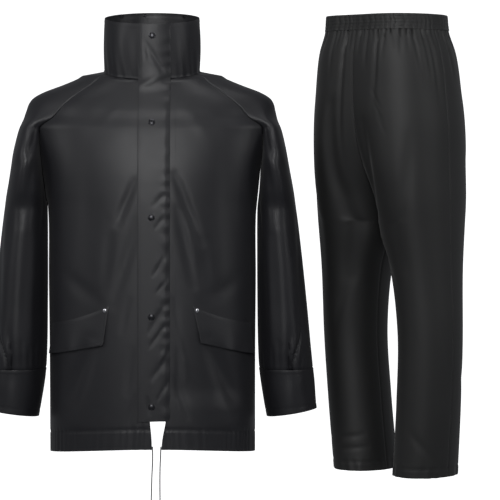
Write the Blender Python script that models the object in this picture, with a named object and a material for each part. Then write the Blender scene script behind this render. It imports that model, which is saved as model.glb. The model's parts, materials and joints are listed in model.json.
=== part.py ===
"""A rain jacket and its matching waterproof trousers, filled out as worn, with nobody inside.

Metres, +Z up. The origin is the middle of the jacket's neck seam, +X the wearer's left, -Y the front.
The trousers stand beside the jacket, turned a little past the quarter view.
Each cloth panel is a thin wall: rows of outer points run across it, from neck or waist to hem, and the
inner skin is those points moved in by the cloth's thickness.
"""
import math
from typing import NamedTuple

import bmesh
import bpy
import numpy as np

# Cloth
WALL = 0.0014
SEAM = 0.00025
LIFT = 0.0026
PLACKET_STAND = 0.0010
PLACKET_FULL = 0.0035
FLAP_STAND = {"right": 0.0014, "left": 0.0022}
FLAP_FULL = 0.0050

# Jacket sizes
NECK_SIDE = 0.1025
NECK_FRONT = 0.088
NECK_BACK = 0.082
NECK_DIP = 0.019
NECK_RISE = 0.010
COLLAR_TOP = 0.1165
COLLAR_TILT = 0.0165
FRONT_SEAM_TURN = 75.0
BACK_SEAM_TURN = 112.0
ARMPIT = -0.300
HEM = -0.834
HEM_RISE_FRONT = 0.021
HEM_RISE_BACK = 0.046
NECK_FADE = 0.150
HEM_FADE = -0.500
BODY_ROUND = 2.3
SLEEVE_GAP = 0.0020
CUFF_TOP = -0.650
CUFF_HEM = -0.757
CUFF_RISE = 0.018
ARM_SWAY = {"right": 0.004, "left": -0.004}
RIGHT_EDGE = -0.0015
LEFT_EDGE = 0.0085
NOTCH_WIDTH = 0.0265
NOTCH_TAPER = 0.0100
NOTCH_LEAN = 0.0055
NOTCH_TOP = -0.690
NOTCH_CORNER = -0.745
COLLAR_SWELL = 0.030
COLLAR_SET = 0.002
COLLAR_ENDS = (1.5, 354.0)
PLACKET_FREE = -0.0262
PLACKET_SEWN = 0.0435
PLACKET_HEM = -0.753
PLACKET_DROOP = 0.002
PLACKET_NECK = -0.060
PLACKET_CHEST = -0.095
SNAP_X = 0.0039
SNAP_RADIUS = 0.0078
SNAP_SEAT = 0.0006
SNAP_HEIGHT = 0.0030
RIVET_RADIUS = 0.0045
RIVET_HEIGHT = 0.0018
RIVET_INSET = (0.0075, -0.0085)
RIVET_STAND = 0.0013
FLAP_SAG = 0.004
CORD_RADIUS = 0.00125
KNOT_RADIUS = 0.0042
KNOT_SWIRL = 0.10
KNOT_GAP = 0.0004

# Trousers sizes
TROUSERS_X = 0.527
TROUSERS_TURN = -43.6
WAIST_TOP = 0.120
BAND_HEM = 0.087
CROTCH = -0.340
TROUSERS_LEAN = -0.0345
LEAN_LEVEL = -0.500
SHIRRS = 56
GATHERS = 28
GATHER_DEPTH = 0.0042
SHIRR_DEPTH = 0.0016
GATHER_LENGTH = 0.115


class BodyRow(NamedTuple):
    """Where the body's seams and middles lie at one height of the seam."""
    z: float
    front_x: float
    front_y: float
    back_x: float
    back_y: float
    front: float
    back: float


class SleeveRow(NamedTuple):
    """A sleeve's reach at one height: its inner and outer edge, its front and its back."""
    z: float
    inner: float
    outer: float
    front: float
    back: float


class LegRow(NamedTuple):
    """Half of the trousers at one height: the leg's middle, its reaches and its depths."""
    z: float
    middle: float
    inner: float
    outer: float
    front: float
    back: float


class Fold(NamedTuple):
    """A soft trough from one place to another; a negative depth is a ridge."""
    x0: float
    z0: float
    x1: float
    z1: float
    width: float
    depth: float


BODY = [
    BodyRow(0.000, 0.0990, -0.0230, 0.0950, 0.031, -0.088, 0.082),
    BodyRow(-0.012, 0.1120, -0.0420, 0.1090, 0.055, -0.091, 0.090),
    BodyRow(-0.029, 0.1300, -0.0580, 0.1290, 0.070, -0.096, 0.098),
    BodyRow(-0.050, 0.1610, -0.0660, 0.1610, 0.075, -0.103, 0.106),
    BodyRow(-0.076, 0.1920, -0.0690, 0.1920, 0.075, -0.111, 0.113),
    BodyRow(-0.101, 0.2120, -0.0690, 0.2120, 0.073, -0.117, 0.118),
    BodyRow(-0.125, 0.2420, -0.0600, 0.2380, 0.067, -0.124, 0.122),
    BodyRow(-0.160, 0.2420, -0.0520, 0.2400, 0.057, -0.132, 0.125),
    BodyRow(-0.210, 0.2380, -0.0400, 0.2370, 0.042, -0.140, 0.126),
    BodyRow(-0.260, 0.2330, -0.0220, 0.2330, 0.022, -0.144, 0.124),
    BodyRow(-0.300, 0.2285, -0.0003, 0.2285, 0.0003, -0.146, 0.121),
    BodyRow(-0.450, 0.2275, -0.0003, 0.2275, 0.0003, -0.150, 0.116),
    BodyRow(-0.600, 0.2262, -0.0003, 0.2262, 0.0003, -0.153, 0.124),
    BodyRow(HEM, 0.2258, -0.0003, 0.2258, 0.0003, -0.155, 0.145),
]

SHOULDER = [
    # height of the shoulder and sleeve's outer edge, and its reach from the middle
    (0.000, 0.1030),
    (-0.004, 0.1350),
    (-0.018, 0.1670),
    (-0.031, 0.1990),
    (-0.044, 0.2340),
    (-0.057, 0.2580),
    (-0.070, 0.2690),
    (-0.084, 0.2740),
    (-0.128, 0.2865),
    (-0.180, 0.2975),
    (-0.233, 0.3090),
    (-0.300, 0.3200),
]

SLEEVE = [
    SleeveRow(-0.050, 0.1900, 0.2460, -0.062, 0.068),
    SleeveRow(-0.090, 0.2200, 0.2755, -0.074, 0.079),
    SleeveRow(-0.125, 0.2350, 0.2860, -0.080, 0.085),
    SleeveRow(-0.200, 0.2350, 0.3020, -0.086, 0.089),
    SleeveRow(-0.300, 0.2305, 0.3200, -0.087, 0.087),
    SleeveRow(-0.400, 0.2300, 0.3325, -0.086, 0.079),
    SleeveRow(-0.500, 0.2305, 0.3430, -0.084, 0.069),
    SleeveRow(-0.600, 0.2320, 0.3525, -0.082, 0.059),
    SleeveRow(-0.650, 0.2345, 0.3575, -0.076, 0.052),
    SleeveRow(-0.700, 0.2400, 0.3615, -0.074, 0.048),
    SleeveRow(-0.757, 0.2510, 0.3660, -0.071, 0.043),
]

LEG = [
    LegRow(0.120, 0.055, 0.280, 0.0770, -0.102, 0.102),
    LegRow(0.087, 0.055, 0.280, 0.0800, -0.105, 0.105),
    LegRow(0.040, 0.057, 0.260, 0.0930, -0.116, 0.118),
    LegRow(-0.030, 0.060, 0.220, 0.1000, -0.122, 0.126),
    LegRow(-0.110, 0.068, 0.165, 0.0990, -0.125, 0.130),
    LegRow(-0.200, 0.080, 0.114, 0.0880, -0.122, 0.126),
    LegRow(-0.280, 0.091, 0.096, 0.0780, -0.111, 0.116),
    LegRow(-0.340, 0.098, 0.0965, 0.0700, -0.100, 0.104),
    LegRow(-0.430, 0.104, 0.076, 0.0640, -0.087, 0.089),
    LegRow(-0.560, 0.107, 0.064, 0.0635, -0.079, 0.079),
    LegRow(-0.720, 0.099, 0.063, 0.0635, -0.078, 0.078),
    LegRow(-0.880, 0.086, 0.064, 0.0625, -0.080, 0.080),
]

FRONT_FOLDS = {
    "right": [
        Fold(-0.033, -0.240, -0.070, -0.330, 0.010, 0.0035),
        Fold(-0.026, -0.330, -0.080, -0.500, 0.014, 0.0030),
        Fold(-0.125, -0.580, -0.180, -0.730, 0.018, 0.0060),
        Fold(-0.030, -0.020, -0.150, -0.160, 0.030, 0.0015),
    ],
    "left": [
        Fold(0.055, -0.225, 0.110, -0.370, 0.010, 0.0040),
        Fold(0.060, -0.300, 0.095, -0.460, 0.011, 0.0035),
        Fold(0.110, -0.370, 0.125, -0.470, 0.016, 0.0030),
        Fold(0.125, -0.580, 0.190, -0.730, 0.018, 0.0060),
    ],
}

SLEEVE_FOLDS = [
    # x is the share of the way round the sleeve, from the front seam to the back one
    Fold(0.10, -0.130, 0.30, -0.210, 0.012, 0.0035),
    Fold(0.18, -0.200, 0.26, -0.330, 0.012, 0.0035),
    Fold(0.13, -0.400, 0.15, -0.600, 0.012, 0.0030),
    Fold(0.22, -0.360, 0.24, -0.600, 0.010, 0.0025),
    Fold(0.42, -0.330, 0.38, -0.600, 0.014, 0.0035),
    Fold(0.62, -0.220, 0.66, -0.420, 0.016, 0.0040),
    Fold(0.74, -0.380, 0.72, -0.600, 0.014, 0.0035),
    Fold(0.86, -0.300, 0.84, -0.520, 0.012, 0.0030),
]

CUFF_PLEAT = Fold(0.345, -0.560, 0.300, -0.648, 0.006, 0.0070)

BACK_FOLDS = [
    Fold(-0.130, -0.150, -0.090, -0.420, 0.018, 0.0045),
    Fold(0.140, -0.170, 0.085, -0.400, 0.018, 0.0040),
    Fold(-0.190, -0.330, -0.120, -0.560, 0.016, 0.0040),
    Fold(0.190, -0.350, 0.150, -0.640, 0.016, 0.0040),
    Fold(0.020, -0.420, -0.030, -0.700, 0.020, 0.0035),
]

PLACKET_FOLDS = [
    Fold(-0.020, -0.030, 0.030, -0.012, 0.008, -0.0030),
    Fold(-0.010, 0.060, 0.028, -0.004, 0.006, 0.0015),
    Fold(0.010, -0.290, 0.036, -0.262, 0.006, 0.0012),
    Fold(0.000, -0.560, 0.034, -0.500, 0.007, 0.0015),
    Fold(0.006, -0.660, 0.036, -0.610, 0.007, 0.0015),
]

TROUSER_FOLDS = {
    # x is the share of the way from the middle front round to the middle back
    "left": [
        Fold(0.06, -0.120, 0.10, -0.330, 0.020, 0.0080),
        Fold(0.30, -0.150, 0.26, -0.420, 0.020, 0.0030),
        Fold(0.70, -0.200, 0.74, -0.480, 0.022, 0.0045),
        Fold(0.88, -0.260, 0.80, -0.420, 0.020, 0.0050),
    ],
    "right": [
        Fold(0.12, -0.080, 0.16, -0.440, 0.022, 0.0080),
        Fold(0.34, -0.180, 0.30, -0.460, 0.020, 0.0030),
        Fold(0.68, -0.220, 0.72, -0.500, 0.022, 0.0045),
        Fold(0.88, -0.280, 0.80, -0.440, 0.020, 0.0050),
    ],
}

SNAP_HEIGHTS = [0.0745, -0.112, -0.316, -0.528, -0.721]

FLAP = {
    # corners on the front panel as (x, z): inner top, outer top, outer hem, inner hem
    "right": [(-0.088, -0.506), (-0.212, -0.546), (-0.2165, -0.614), (-0.099, -0.589)],
    "left": [(0.093, -0.506), (0.212, -0.546), (0.2165, -0.614), (0.108, -0.584)],
}

CORD_ROUTES = {
    # drawcord ends from the hem's channel down, as (x, y, z)
    "right": [
        (0.0056, -0.1543, -0.8060), (0.0057, -0.1543, -0.8150), (0.0060, -0.1543, -0.8250),
        (0.0058, -0.1543, -0.8380), (0.0052, -0.1543, -0.8520), (0.0045, -0.1542, -0.8660),
        (0.0040, -0.1542, -0.8800), (0.0036, -0.1542, -0.8940), (0.0032, -0.1542, -0.9080),
        (0.0028, -0.1542, -0.9220), (0.0023, -0.1542, -0.9370), (0.0018, -0.1542, -0.9520),
        (0.0014, -0.1542, -0.9680), (0.0011, -0.1542, -0.9850), (0.0010, -0.1542, -1.0050),
        (0.0010, -0.1542, -1.0250),
    ],
    "left": [
        (0.0238, -0.1543, -0.8060), (0.0235, -0.1543, -0.8130), (0.0232, -0.1543, -0.8210),
        (0.0229, -0.1543, -0.8310), (0.0222, -0.1542, -0.8420), (0.0218, -0.1542, -0.8540),
        (0.0216, -0.1542, -0.8670), (0.0215, -0.1542, -0.8810), (0.0215, -0.1542, -0.8960),
        (0.0216, -0.1542, -0.9110), (0.0217, -0.1542, -0.9260), (0.0219, -0.1542, -0.9410),
        (0.0220, -0.1542, -0.9570), (0.0221, -0.1542, -0.9750), (0.0221, -0.1542, -0.9950),
        (0.0221, -0.1542, -1.0150),
    ],
}

# Rows and columns of the panels
UPPER_HEIGHTS = [0.0, -0.009, -0.020, -0.034, -0.050, -0.068, -0.088, -0.108, -0.130, -0.160, -0.200,
                 -0.250]
LOWER_HEIGHTS = [ARMPIT, -0.350, -0.405, -0.460, -0.515, -0.560, -0.600, -0.645, -0.690, -0.730, -0.770,
                 -0.800, HEM]
SLEEVE_HEIGHTS = [ARMPIT, -0.345, -0.390, -0.440, -0.490, -0.540, -0.580, -0.610, -0.635, CUFF_TOP]
FRONT_COLUMNS = 12
BACK_COLUMNS = 9
SLEEVE_COLUMNS = 18
BAND_COLUMNS = 2 * SHIRRS
WAIST_ROWS = [0.0865, 0.076, 0.060, 0.040, 0.012, -0.022]
LEG_ROWS = [-0.022, -0.070, -0.125, -0.180, -0.235, -0.290, CROTCH, -0.395, -0.460, -0.550, -0.660,
            -0.770, -0.880]
WAIST_COLUMNS = 24
LEG_COLUMNS = 11
SLEEVE_GIRTH = 0.36
LEG_GIRTH = 0.62
FLAP_COLUMNS = 8
FLAP_ROWS = 4
CUFF_ROWS = 2
PLACKET_COLUMNS = 5
COLLAR_COLUMNS = 36
COLLAR_SHARES = [1.0, 0.86, 0.5, 0.2, 0.0]
CORD_STEPS = 28
SECTION_POINTS = 80


def clear_scene():
    """Remove what a new file holds."""
    for item in list(bpy.data.objects):
        bpy.data.objects.remove(item)


def finish(name, colour, roughness, metallic=0.0):
    """A Principled material of one colour."""
    material = bpy.data.materials.new(name)
    material.use_nodes = True
    shader = material.node_tree.nodes["Principled BSDF"]
    shader.inputs["Base Color"].default_value = (*colour, 1.0)
    shader.inputs["Roughness"].default_value = roughness
    shader.inputs["Metallic"].default_value = metallic
    return material


def lookup(keys, values, at):
    """Read a table smoothly between its rows, along a cubic through them."""
    keys = np.asarray(keys, float)
    values = np.asarray(values, float)
    if keys[0] > keys[-1]:
        keys = keys[::-1]
        values = values[::-1]
    at = float(np.clip(at, keys[0], keys[-1]))
    i = int(np.clip(np.searchsorted(keys, at) - 1, 0, len(keys) - 2))
    steps = np.diff(values) / np.diff(keys)
    slopes = np.concatenate([[steps[0]], (steps[:-1] + steps[1:]) / 2, [steps[-1]]])
    for k in range(1, len(steps)):
        if steps[k - 1] * steps[k] <= 0:
            slopes[k] = 0
    span = keys[i + 1] - keys[i]
    t = (at - keys[i]) / span
    rise = values[i + 1] - values[i]
    a = slopes[i] * span - rise
    b = -slopes[i + 1] * span + rise
    return values[i] + t * rise + t * (1 - t) * (a * (1 - t) + b * t)


def row_at(table, z):
    """A table's row at any height."""
    keys = [row[0] for row in table]
    columns = list(zip(*table))
    return type(table[0])(z, *(lookup(keys, column, z) for column in columns[1:]))


def ease(start, end, value):
    """Go softly from 0 at start to 1 at end."""
    t = min(max((value - start) / (end - start), 0.0), 1.0)
    return t * t * (3 - 2 * t)


def spread(points, count):
    """Take count + 1 points at even steps along a line of many points."""
    points = np.asarray(points, float)
    lengths = np.concatenate([[0], np.cumsum(np.linalg.norm(np.diff(points, axis=0), axis=1))])
    wanted = np.linspace(0, lengths[-1], count + 1)
    return np.stack([np.interp(wanted, lengths, points[:, k]) for k in range(points.shape[1])], axis=1)


def trough(folds, x, z, wide=1.0):
    """How deep the folds press the cloth in at a place; wide is what one unit of x measures."""
    depth = 0.0
    for fold in folds:
        way = np.array([(fold.x1 - fold.x0) * wide, fold.z1 - fold.z0])
        place = np.array([(x - fold.x0) * wide, z - fold.z0])
        length = float(np.linalg.norm(way))
        along = float(place @ way) / length ** 2
        inside = min(max(along, 0.0), 1.0)
        aside = float(np.linalg.norm(place - inside * way))
        fade = math.sin(math.pi * (0.12 + 0.76 * inside))
        depth += fold.depth * fade * math.exp(-(aside / fold.width) ** 2)
    return depth


def quarter(depth, side_x, side_y):
    """A section's quarter from the middle out to the seam, as (x, y); depth is signed."""
    share = min(abs(side_y) / abs(depth), 0.999)
    half = side_x / (1 - share ** BODY_ROUND) ** (1 / BODY_ROUND)
    turns = np.linspace(0, math.asin(min(side_x / half, 1.0)), SECTION_POINTS)
    across = np.sin(turns)
    y = depth * np.maximum(1 - across ** BODY_ROUND, 0) ** (1 / BODY_ROUND)
    return np.stack([half * across, y], axis=1)


def neck_ring(turn):
    """The neck seam at a turn in degrees from the middle front."""
    angle = math.radians(turn)
    depth = NECK_FRONT if turn < 90 else NECK_BACK
    lean = -math.cos(angle)
    z = NECK_DIP * lean if lean < 0 else NECK_RISE * lean
    return np.array([NECK_SIDE * math.sin(angle), depth * lean, z])


def level_shift(z, share, front):
    """How far a row rises or drops from the seam to the middle, for the neckline and the hem."""
    neck = 1 - ease(0.0, NECK_FADE, -z)
    hem = ease(-HEM_FADE, -HEM, -z)
    if front:
        return share * (-NECK_DIP * neck + HEM_RISE_FRONT * hem)
    return share * (NECK_RISE * neck + HEM_RISE_BACK * hem)


def body_line(z, front, columns, start):
    """One row of the body from its middle edge to its seam, of columns + 1 points."""
    row = row_at(BODY, z)
    side = (row.front_x, row.front_y) if front else (row.back_x, row.back_y)
    line = quarter(row.front if front else row.back, *side)
    if start:
        across = np.linspace(0, 1, len(line))
        line[:, 0] += start * (1 - across) ** 1.5
    line = spread(line, columns)
    share = np.cos(np.linspace(0, math.pi / 2, columns + 1)) ** 1.2
    heights = [z + level_shift(z, part, front) for part in share]
    return np.column_stack([line, heights])


def centre_edge(z, side):
    """Where the front's free edge lies, to the wearer's left of the middle."""
    if side == "right":
        return RIGHT_EDGE + NOTCH_LEAN * ease(0.730, -HEM, -z)
    notch = ease(-NOTCH_TOP, -NOTCH_CORNER, -z)
    return LEFT_EDGE + notch * (NOTCH_WIDTH - NOTCH_TAPER * ease(0.755, -HEM, -z))


def front_line(z, side):
    """One row of a front panel, with its folds, towards the wearer's left for both sides."""
    hand = 1 if side == "left" else -1
    line = body_line(z, True, FRONT_COLUMNS, hand * centre_edge(z, side))
    for point in line:
        point[1] += trough(FRONT_FOLDS[side], hand * point[0], point[2])
    return line


def outer_reach(z):
    """The shoulder and sleeve's reach at a height."""
    return lookup([row[0] for row in SHOULDER], [row[1] for row in SHOULDER], z)


def cap_line(z, columns):
    """The upper arm's row as one section with the shoulder, from the front seam to the back one."""
    row = row_at(BODY, z)
    reach = max(outer_reach(z), row.front_x + 0.002)
    halves = []
    for x, y in ((row.front_x, row.front_y), (row.back_x, row.back_y)):
        share = (x / reach) ** 2
        depth = y / math.sqrt(1 - share)
        turns = np.linspace(math.asin(x / reach), math.pi / 2, 50)
        halves.append(np.column_stack([reach * np.sin(turns), depth * np.cos(turns)]))
    return spread(np.concatenate([halves[0], halves[1][::-1][1:]]), columns)


def loop_line(z, columns):
    """The arm's row as a closed loop that starts and ends at its inner edge."""
    row = row_at(SLEEVE, z)
    turns = np.linspace(0, 2 * math.pi, 161)
    x = (row.inner + row.outer) / 2 - (row.outer - row.inner) / 2 * np.cos(turns)
    depth = np.where(np.sin(turns) > 0, row.front, -row.back)
    return spread(np.column_stack([x, depth * np.abs(np.sin(turns)) * np.sign(np.sin(turns))]), columns)


def sleeve_line(z, columns):
    """One row of the sleeve, open above the armpit and closed below it."""
    row = row_at(BODY, z)
    shares = np.linspace(0, 1, columns + 1)
    gap = SLEEVE_GAP * ease(0.120, 0.300, -z)
    if z <= ARMPIT:
        line = loop_line(z, columns)
    else:
        turned = ease(0.050, 0.200, -z)
        line = cap_line(z, columns) * (1 - turned) + loop_line(z, columns) * turned
        front = np.array([row.front_x + gap, row.front_y])
        back = np.array([row.back_x + gap, row.back_y])
        line += np.outer((1 - shares) ** 2, front - line[0]) + np.outer(shares ** 2, back - line[-1])
    return np.column_stack([line, np.full(columns + 1, z)])


def press(points, depths):
    """Move a grid of points in along its own normals."""
    return points - grid_normals(points, False) * np.asarray(depths)[..., None]


def grid_normals(points, closed):
    """Outward normals of a grid of rows, with the columns going from front to back on the left side."""
    down = np.gradient(points, axis=0)
    if closed:
        ahead = np.roll(points[:, :-1], -1, axis=1)
        behind = np.roll(points[:, :-1], 1, axis=1)
        across = np.concatenate([ahead - behind, (ahead - behind)[:, :1]], axis=1)
    else:
        across = np.gradient(points, axis=1)
    normals = np.cross(across, -down)
    return normals / np.maximum(np.linalg.norm(normals, axis=2, keepdims=True), 1e-9)


def pull_columns(grid, first=SEAM, last=SEAM):
    """Draw a grid's side edges back from their seams."""
    grid = grid.copy()
    for edge, near, gap in ((0, 1, first), (-1, -2, last)):
        way = grid[:, near] - grid[:, edge]
        grid[:, edge] += way / np.maximum(np.linalg.norm(way, axis=1, keepdims=True), 1e-9) * gap
    return grid


def pull_rows(grid, first=SEAM, last=0.0):
    """Draw a grid's first and last rows back from their seams."""
    grid = grid.copy()
    for edge, near, gap in ((0, 1, first), (-1, -2, last)):
        way = grid[near] - grid[edge]
        grid[edge] += way / np.maximum(np.linalg.norm(way, axis=1, keepdims=True), 1e-9) * gap
    return grid


def stitch(upper, lower):
    """Triangles between two rows of vertex numbers that may differ in count."""
    faces = []
    i = 0
    j = 0
    while i < len(upper) - 1 or j < len(lower) - 1:
        next_upper = (i + 1) / (len(upper) - 1) if i < len(upper) - 1 else 2.0
        next_lower = (j + 1) / (len(lower) - 1) if j < len(lower) - 1 else 2.0
        if next_upper <= next_lower:
            faces.append((upper[i], lower[j], upper[i + 1]))
            i += 1
        else:
            faces.append((upper[i], lower[j], lower[j + 1]))
            j += 1
    return [face for face in faces if len(set(face)) == 3]


def cloth(name, outer, inner, material, closed_from=None, mirror=False):
    """A wall from rows of outer and inner points; rows from closed_from on are closed loops."""
    vertices = []
    numbers = {0: [], 1: []}
    closed_from = len(outer) if closed_from is None else closed_from
    for skin, rows in enumerate((outer, inner)):
        for k, row in enumerate(rows):
            closed = k >= closed_from
            kept = row[:-1] if closed else row
            first = len(vertices)
            vertices.extend(tuple(float(v) for v in point) for point in kept)
            row_numbers = list(range(first, first + len(kept)))
            numbers[skin].append(row_numbers + row_numbers[:1] if closed else row_numbers)
    faces = []
    out, back = numbers[0], numbers[1]
    for k in range(len(out) - 1):
        faces += stitch(out[k], out[k + 1])
        faces += [face[::-1] for face in stitch(back[k], back[k + 1])]
        if k < closed_from:
            for edge, flip in ((0, False), (-1, True)):
                corners = [out[k][edge], back[k][edge], back[k + 1][edge], out[k + 1][edge]]
                faces.append(tuple(corners[::-1] if flip else corners))
    for row, flip in ((0, False), (-1, True)):
        for i in range(len(out[row]) - 1):
            corners = [out[row][i], out[row][i + 1], back[row][i + 1], back[row][i]]
            faces.append(tuple(corners[::-1] if flip else corners))
    if mirror:
        vertices = [(-x, y, z) for x, y, z in vertices]
        faces = [face[::-1] for face in faces]
    return solid(name, vertices, faces, material)


def solid(name, vertices, faces, material, sharp=50.0):
    """An object of these faces, shaded smooth, with its faces out."""
    mesh = bpy.data.meshes.new(name)
    mesh.from_pydata(vertices, [], faces)
    work = bmesh.new()
    work.from_mesh(mesh)
    if work.calc_volume(signed=True) < 0:
        bmesh.ops.reverse_faces(work, faces=work.faces)
    work.to_mesh(mesh)
    work.free()
    mesh.shade_smooth()
    mesh.set_sharp_from_angle(angle=math.radians(sharp))
    mesh.materials.append(material)
    item = bpy.data.objects.new(name, mesh)
    bpy.context.scene.collection.objects.link(item)
    return item


def thicken(grid, closed=False, wall=WALL):
    """The inner skin of a grid of outer points."""
    return grid - grid_normals(grid, closed) * wall


def body_grids(side):
    """Outer and inner grids of one side's front, sleeve and back, which share their seam points."""
    hand = 1 if side == "left" else -1
    heights = UPPER_HEIGHTS + LOWER_HEIGHTS
    fronts = []
    sleeves = []
    backs = []
    for z in heights:
        fronts.append(front_line(z, side))
        backs.append(body_line(z, False, BACK_COLUMNS, 0.0)[::-1])
        for point in backs[-1]:
            point[1] -= trough(BACK_FOLDS, hand * point[0], point[2])
    for z in UPPER_HEIGHTS + SLEEVE_HEIGHTS:
        sleeves.append(sleeve_line(z, SLEEVE_COLUMNS))
    neck_turns = np.linspace(1, FRONT_SEAM_TURN, FRONT_COLUMNS + 1)
    fronts[0] = np.array([neck_ring(turn) for turn in neck_turns])
    fronts[0][0, 0] = hand * centre_edge(0.0, side)
    neck_turns = np.linspace(FRONT_SEAM_TURN, BACK_SEAM_TURN, SLEEVE_COLUMNS + 1)
    sleeves[0] = np.array([neck_ring(turn) for turn in neck_turns])
    neck_turns = np.linspace(BACK_SEAM_TURN, 180, BACK_COLUMNS + 1)
    backs[0] = np.array([neck_ring(turn) for turn in neck_turns])
    return np.array(fronts), np.array(sleeves), np.array(backs)


def fold_sleeve(sleeves, side):
    """Press the sleeve's folds into its rows."""
    shares = np.linspace(0, 1, SLEEVE_COLUMNS + 1)
    depths = np.zeros(sleeves.shape[:2])
    for k, row in enumerate(sleeves):
        z = row[0, 2]
        row[:, 0] += ARM_SWAY[side] * ease(0.030, 0.120, -z) * np.sin(np.pi * shares) ** 2
        for j, share in enumerate(shares):
            depths[k, j] = trough(SLEEVE_FOLDS + [CUFF_PLEAT], share, z, SLEEVE_GIRTH)
        depths[k] *= np.sin(np.pi * np.clip(shares * 12, 0, 0.5))
        depths[k] *= np.sin(np.pi * np.clip((1 - shares) * 12, 0, 0.5))
    return press(sleeves, depths)


def build_jacket_body(finishes):
    """Fronts, back, sleeves and cuffs."""
    back_outer = {}
    back_inner = {}
    upper = len(UPPER_HEIGHTS)
    for side in ("right", "left"):
        mirror = side == "right"
        fronts, sleeves, backs = body_grids(side)
        sleeves = fold_sleeve(sleeves, side)
        inner_front = thicken(fronts)
        inner_back = thicken(backs)
        inner_sleeve = thicken(sleeves)
        closed_part = thicken(sleeves[upper - 1:], closed=True)
        inner_sleeve[upper:] = closed_part[1:]
        share_seam_skin(fronts, inner_front, sleeves, inner_sleeve, backs, inner_back, upper)
        cloth("jacket_front_" + side, trim_front(fronts), trim_front(inner_front), finishes["shell"],
              mirror=mirror)
        sleeve_outer = pull_rows(pull_columns(sleeves), SEAM, SEAM)
        sleeve_inner = pull_rows(pull_columns(inner_sleeve), SEAM, SEAM)
        for grid in (sleeve_outer, sleeve_inner):
            grid[upper:, 0] = grid[upper:, -1]
        cloth("sleeve_" + side, sleeve_outer, sleeve_inner, finishes["shell"], closed_from=upper,
              mirror=mirror)
        back_outer[side] = pull_rows(pull_columns(backs, SEAM, 0.0))
        back_inner[side] = pull_rows(pull_columns(inner_back, SEAM, 0.0))
        build_cuff(side, finishes)
    flip = np.array([-1.0, 1.0, 1.0])
    outer = np.concatenate([back_outer["left"], (back_outer["right"] * flip)[:, ::-1][:, 1:]], axis=1)
    inner = np.concatenate([back_inner["left"], (back_inner["right"] * flip)[:, ::-1][:, 1:]], axis=1)
    cloth("jacket_back", outer, inner, finishes["shell"])


def trim_front(grid):
    """A front panel's grid drawn back from the neck seam, the raglan seam and the side seam."""
    return pull_rows(pull_columns(grid, 0.0, SEAM))


def share_seam_skin(front, inner_front, sleeve, inner_sleeve, back, inner_back, upper):
    """Give panels that meet at a seam one inner line there, so that their edges stay parallel."""
    for k in range(upper):
        middle = (inner_front[k, -1] - front[k, -1] + inner_sleeve[k, 0] - sleeve[k, 0]) / 2
        middle *= WALL / np.linalg.norm(middle)
        inner_front[k, -1] = front[k, -1] + middle
        inner_sleeve[k, 0] = sleeve[k, 0] + middle
        middle = (inner_back[k, 0] - back[k, 0] + inner_sleeve[k, -1] - sleeve[k, -1]) / 2
        middle *= WALL / np.linalg.norm(middle)
        inner_back[k, 0] = back[k, 0] + middle
        inner_sleeve[k, -1] = sleeve[k, -1] + middle
    for k in range(upper, len(front)):
        inner_front[k, -1] = front[k, -1] + np.array([-WALL, 0.0, 0.0])
        inner_back[k, 0] = back[k, 0] + np.array([-WALL, 0.0, 0.0])
    for k in range(upper, len(sleeve)):
        inner_sleeve[k, 0] = sleeve[k, 0] + np.array([WALL, 0.0, 0.0])
        inner_sleeve[k, -1] = inner_sleeve[k, 0]


def build_cuff(side, finishes):
    """A plain cuff below the sleeve, whose hem rises towards its outer side."""
    rows = []
    shares = np.linspace(0, 1, SLEEVE_COLUMNS + 1)
    for z in np.linspace(CUFF_TOP, CUFF_HEM, CUFF_ROWS + 1):
        line = loop_line(z, SLEEVE_COLUMNS)
        line[:, 0] += ARM_SWAY[side] * np.sin(np.pi * shares) ** 2
        rise = CUFF_RISE * (CUFF_TOP - z) / (CUFF_TOP - CUFF_HEM) * np.sin(np.pi * shares) ** 2
        rows.append(np.column_stack([line, z + rise]))
    outer = np.array(rows)
    inner = thicken(outer, closed=True)
    outer = pull_rows(outer)
    inner = pull_rows(inner)
    cloth("cuff_" + side, outer, inner, finishes["shell"], closed_from=0, mirror=side == "right")


def collar_point(turn, share, out=0.0):
    """A point of the collar at a turn from the middle front, from its seam to its top edge."""
    angle = math.radians(turn)
    base = neck_ring(abs(turn))
    lean = -math.cos(angle)
    depth = NECK_FRONT if lean < 0 else NECK_BACK
    swell = 1 + COLLAR_SWELL * math.sin(math.pi * share)
    x = (NECK_SIDE * swell + out) * math.sin(angle)
    y = (depth * swell + out) * lean + COLLAR_SET * share
    top = COLLAR_TOP + COLLAR_TILT * lean
    return np.array([x, y, base[2] + SEAM + (top - base[2] - SEAM) * share])


def build_collar(finishes):
    """The stand collar, open at the front under the placket."""
    turns = np.linspace(*COLLAR_ENDS, COLLAR_COLUMNS + 1)
    turns = [turn if turn <= 180 else turn - 360 for turn in turns]
    outer = np.array([[collar_point(turn, share) for turn in turns] for share in COLLAR_SHARES])
    inner = np.array([[collar_point(turn, share, -WALL) for turn in turns] for share in COLLAR_SHARES])
    cloth("collar", outer[:, ::-1], inner[:, ::-1], finishes["shell"])


def front_surface(x, z):
    """The depth of the jacket's front at a place near its middle, collar included."""
    row = row_at(BODY, min(z + NECK_DIP * (1 - ease(0.0, NECK_FADE, -z)), 0.0))
    share = min(abs(row.front_y) / abs(row.front), 0.999)
    half = row.front_x / (1 - share ** BODY_ROUND) ** (1 / BODY_ROUND)
    body = row.front * (1 - min(abs(x) / half, 1.0) ** BODY_ROUND) ** (1 / BODY_ROUND)
    base = -NECK_DIP
    share = min(max((z - base) / (COLLAR_TOP - COLLAR_TILT - base), 0.0), 1.0)
    swell = 1 + COLLAR_SWELL * math.sin(math.pi * share)
    collar = -NECK_FRONT * swell * math.sqrt(1 - (x / (NECK_SIDE * swell)) ** 2) + COLLAR_SET * share
    upward = ease(base - 0.012, base + 0.006, z)
    return body * (1 - upward) + collar * upward


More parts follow.
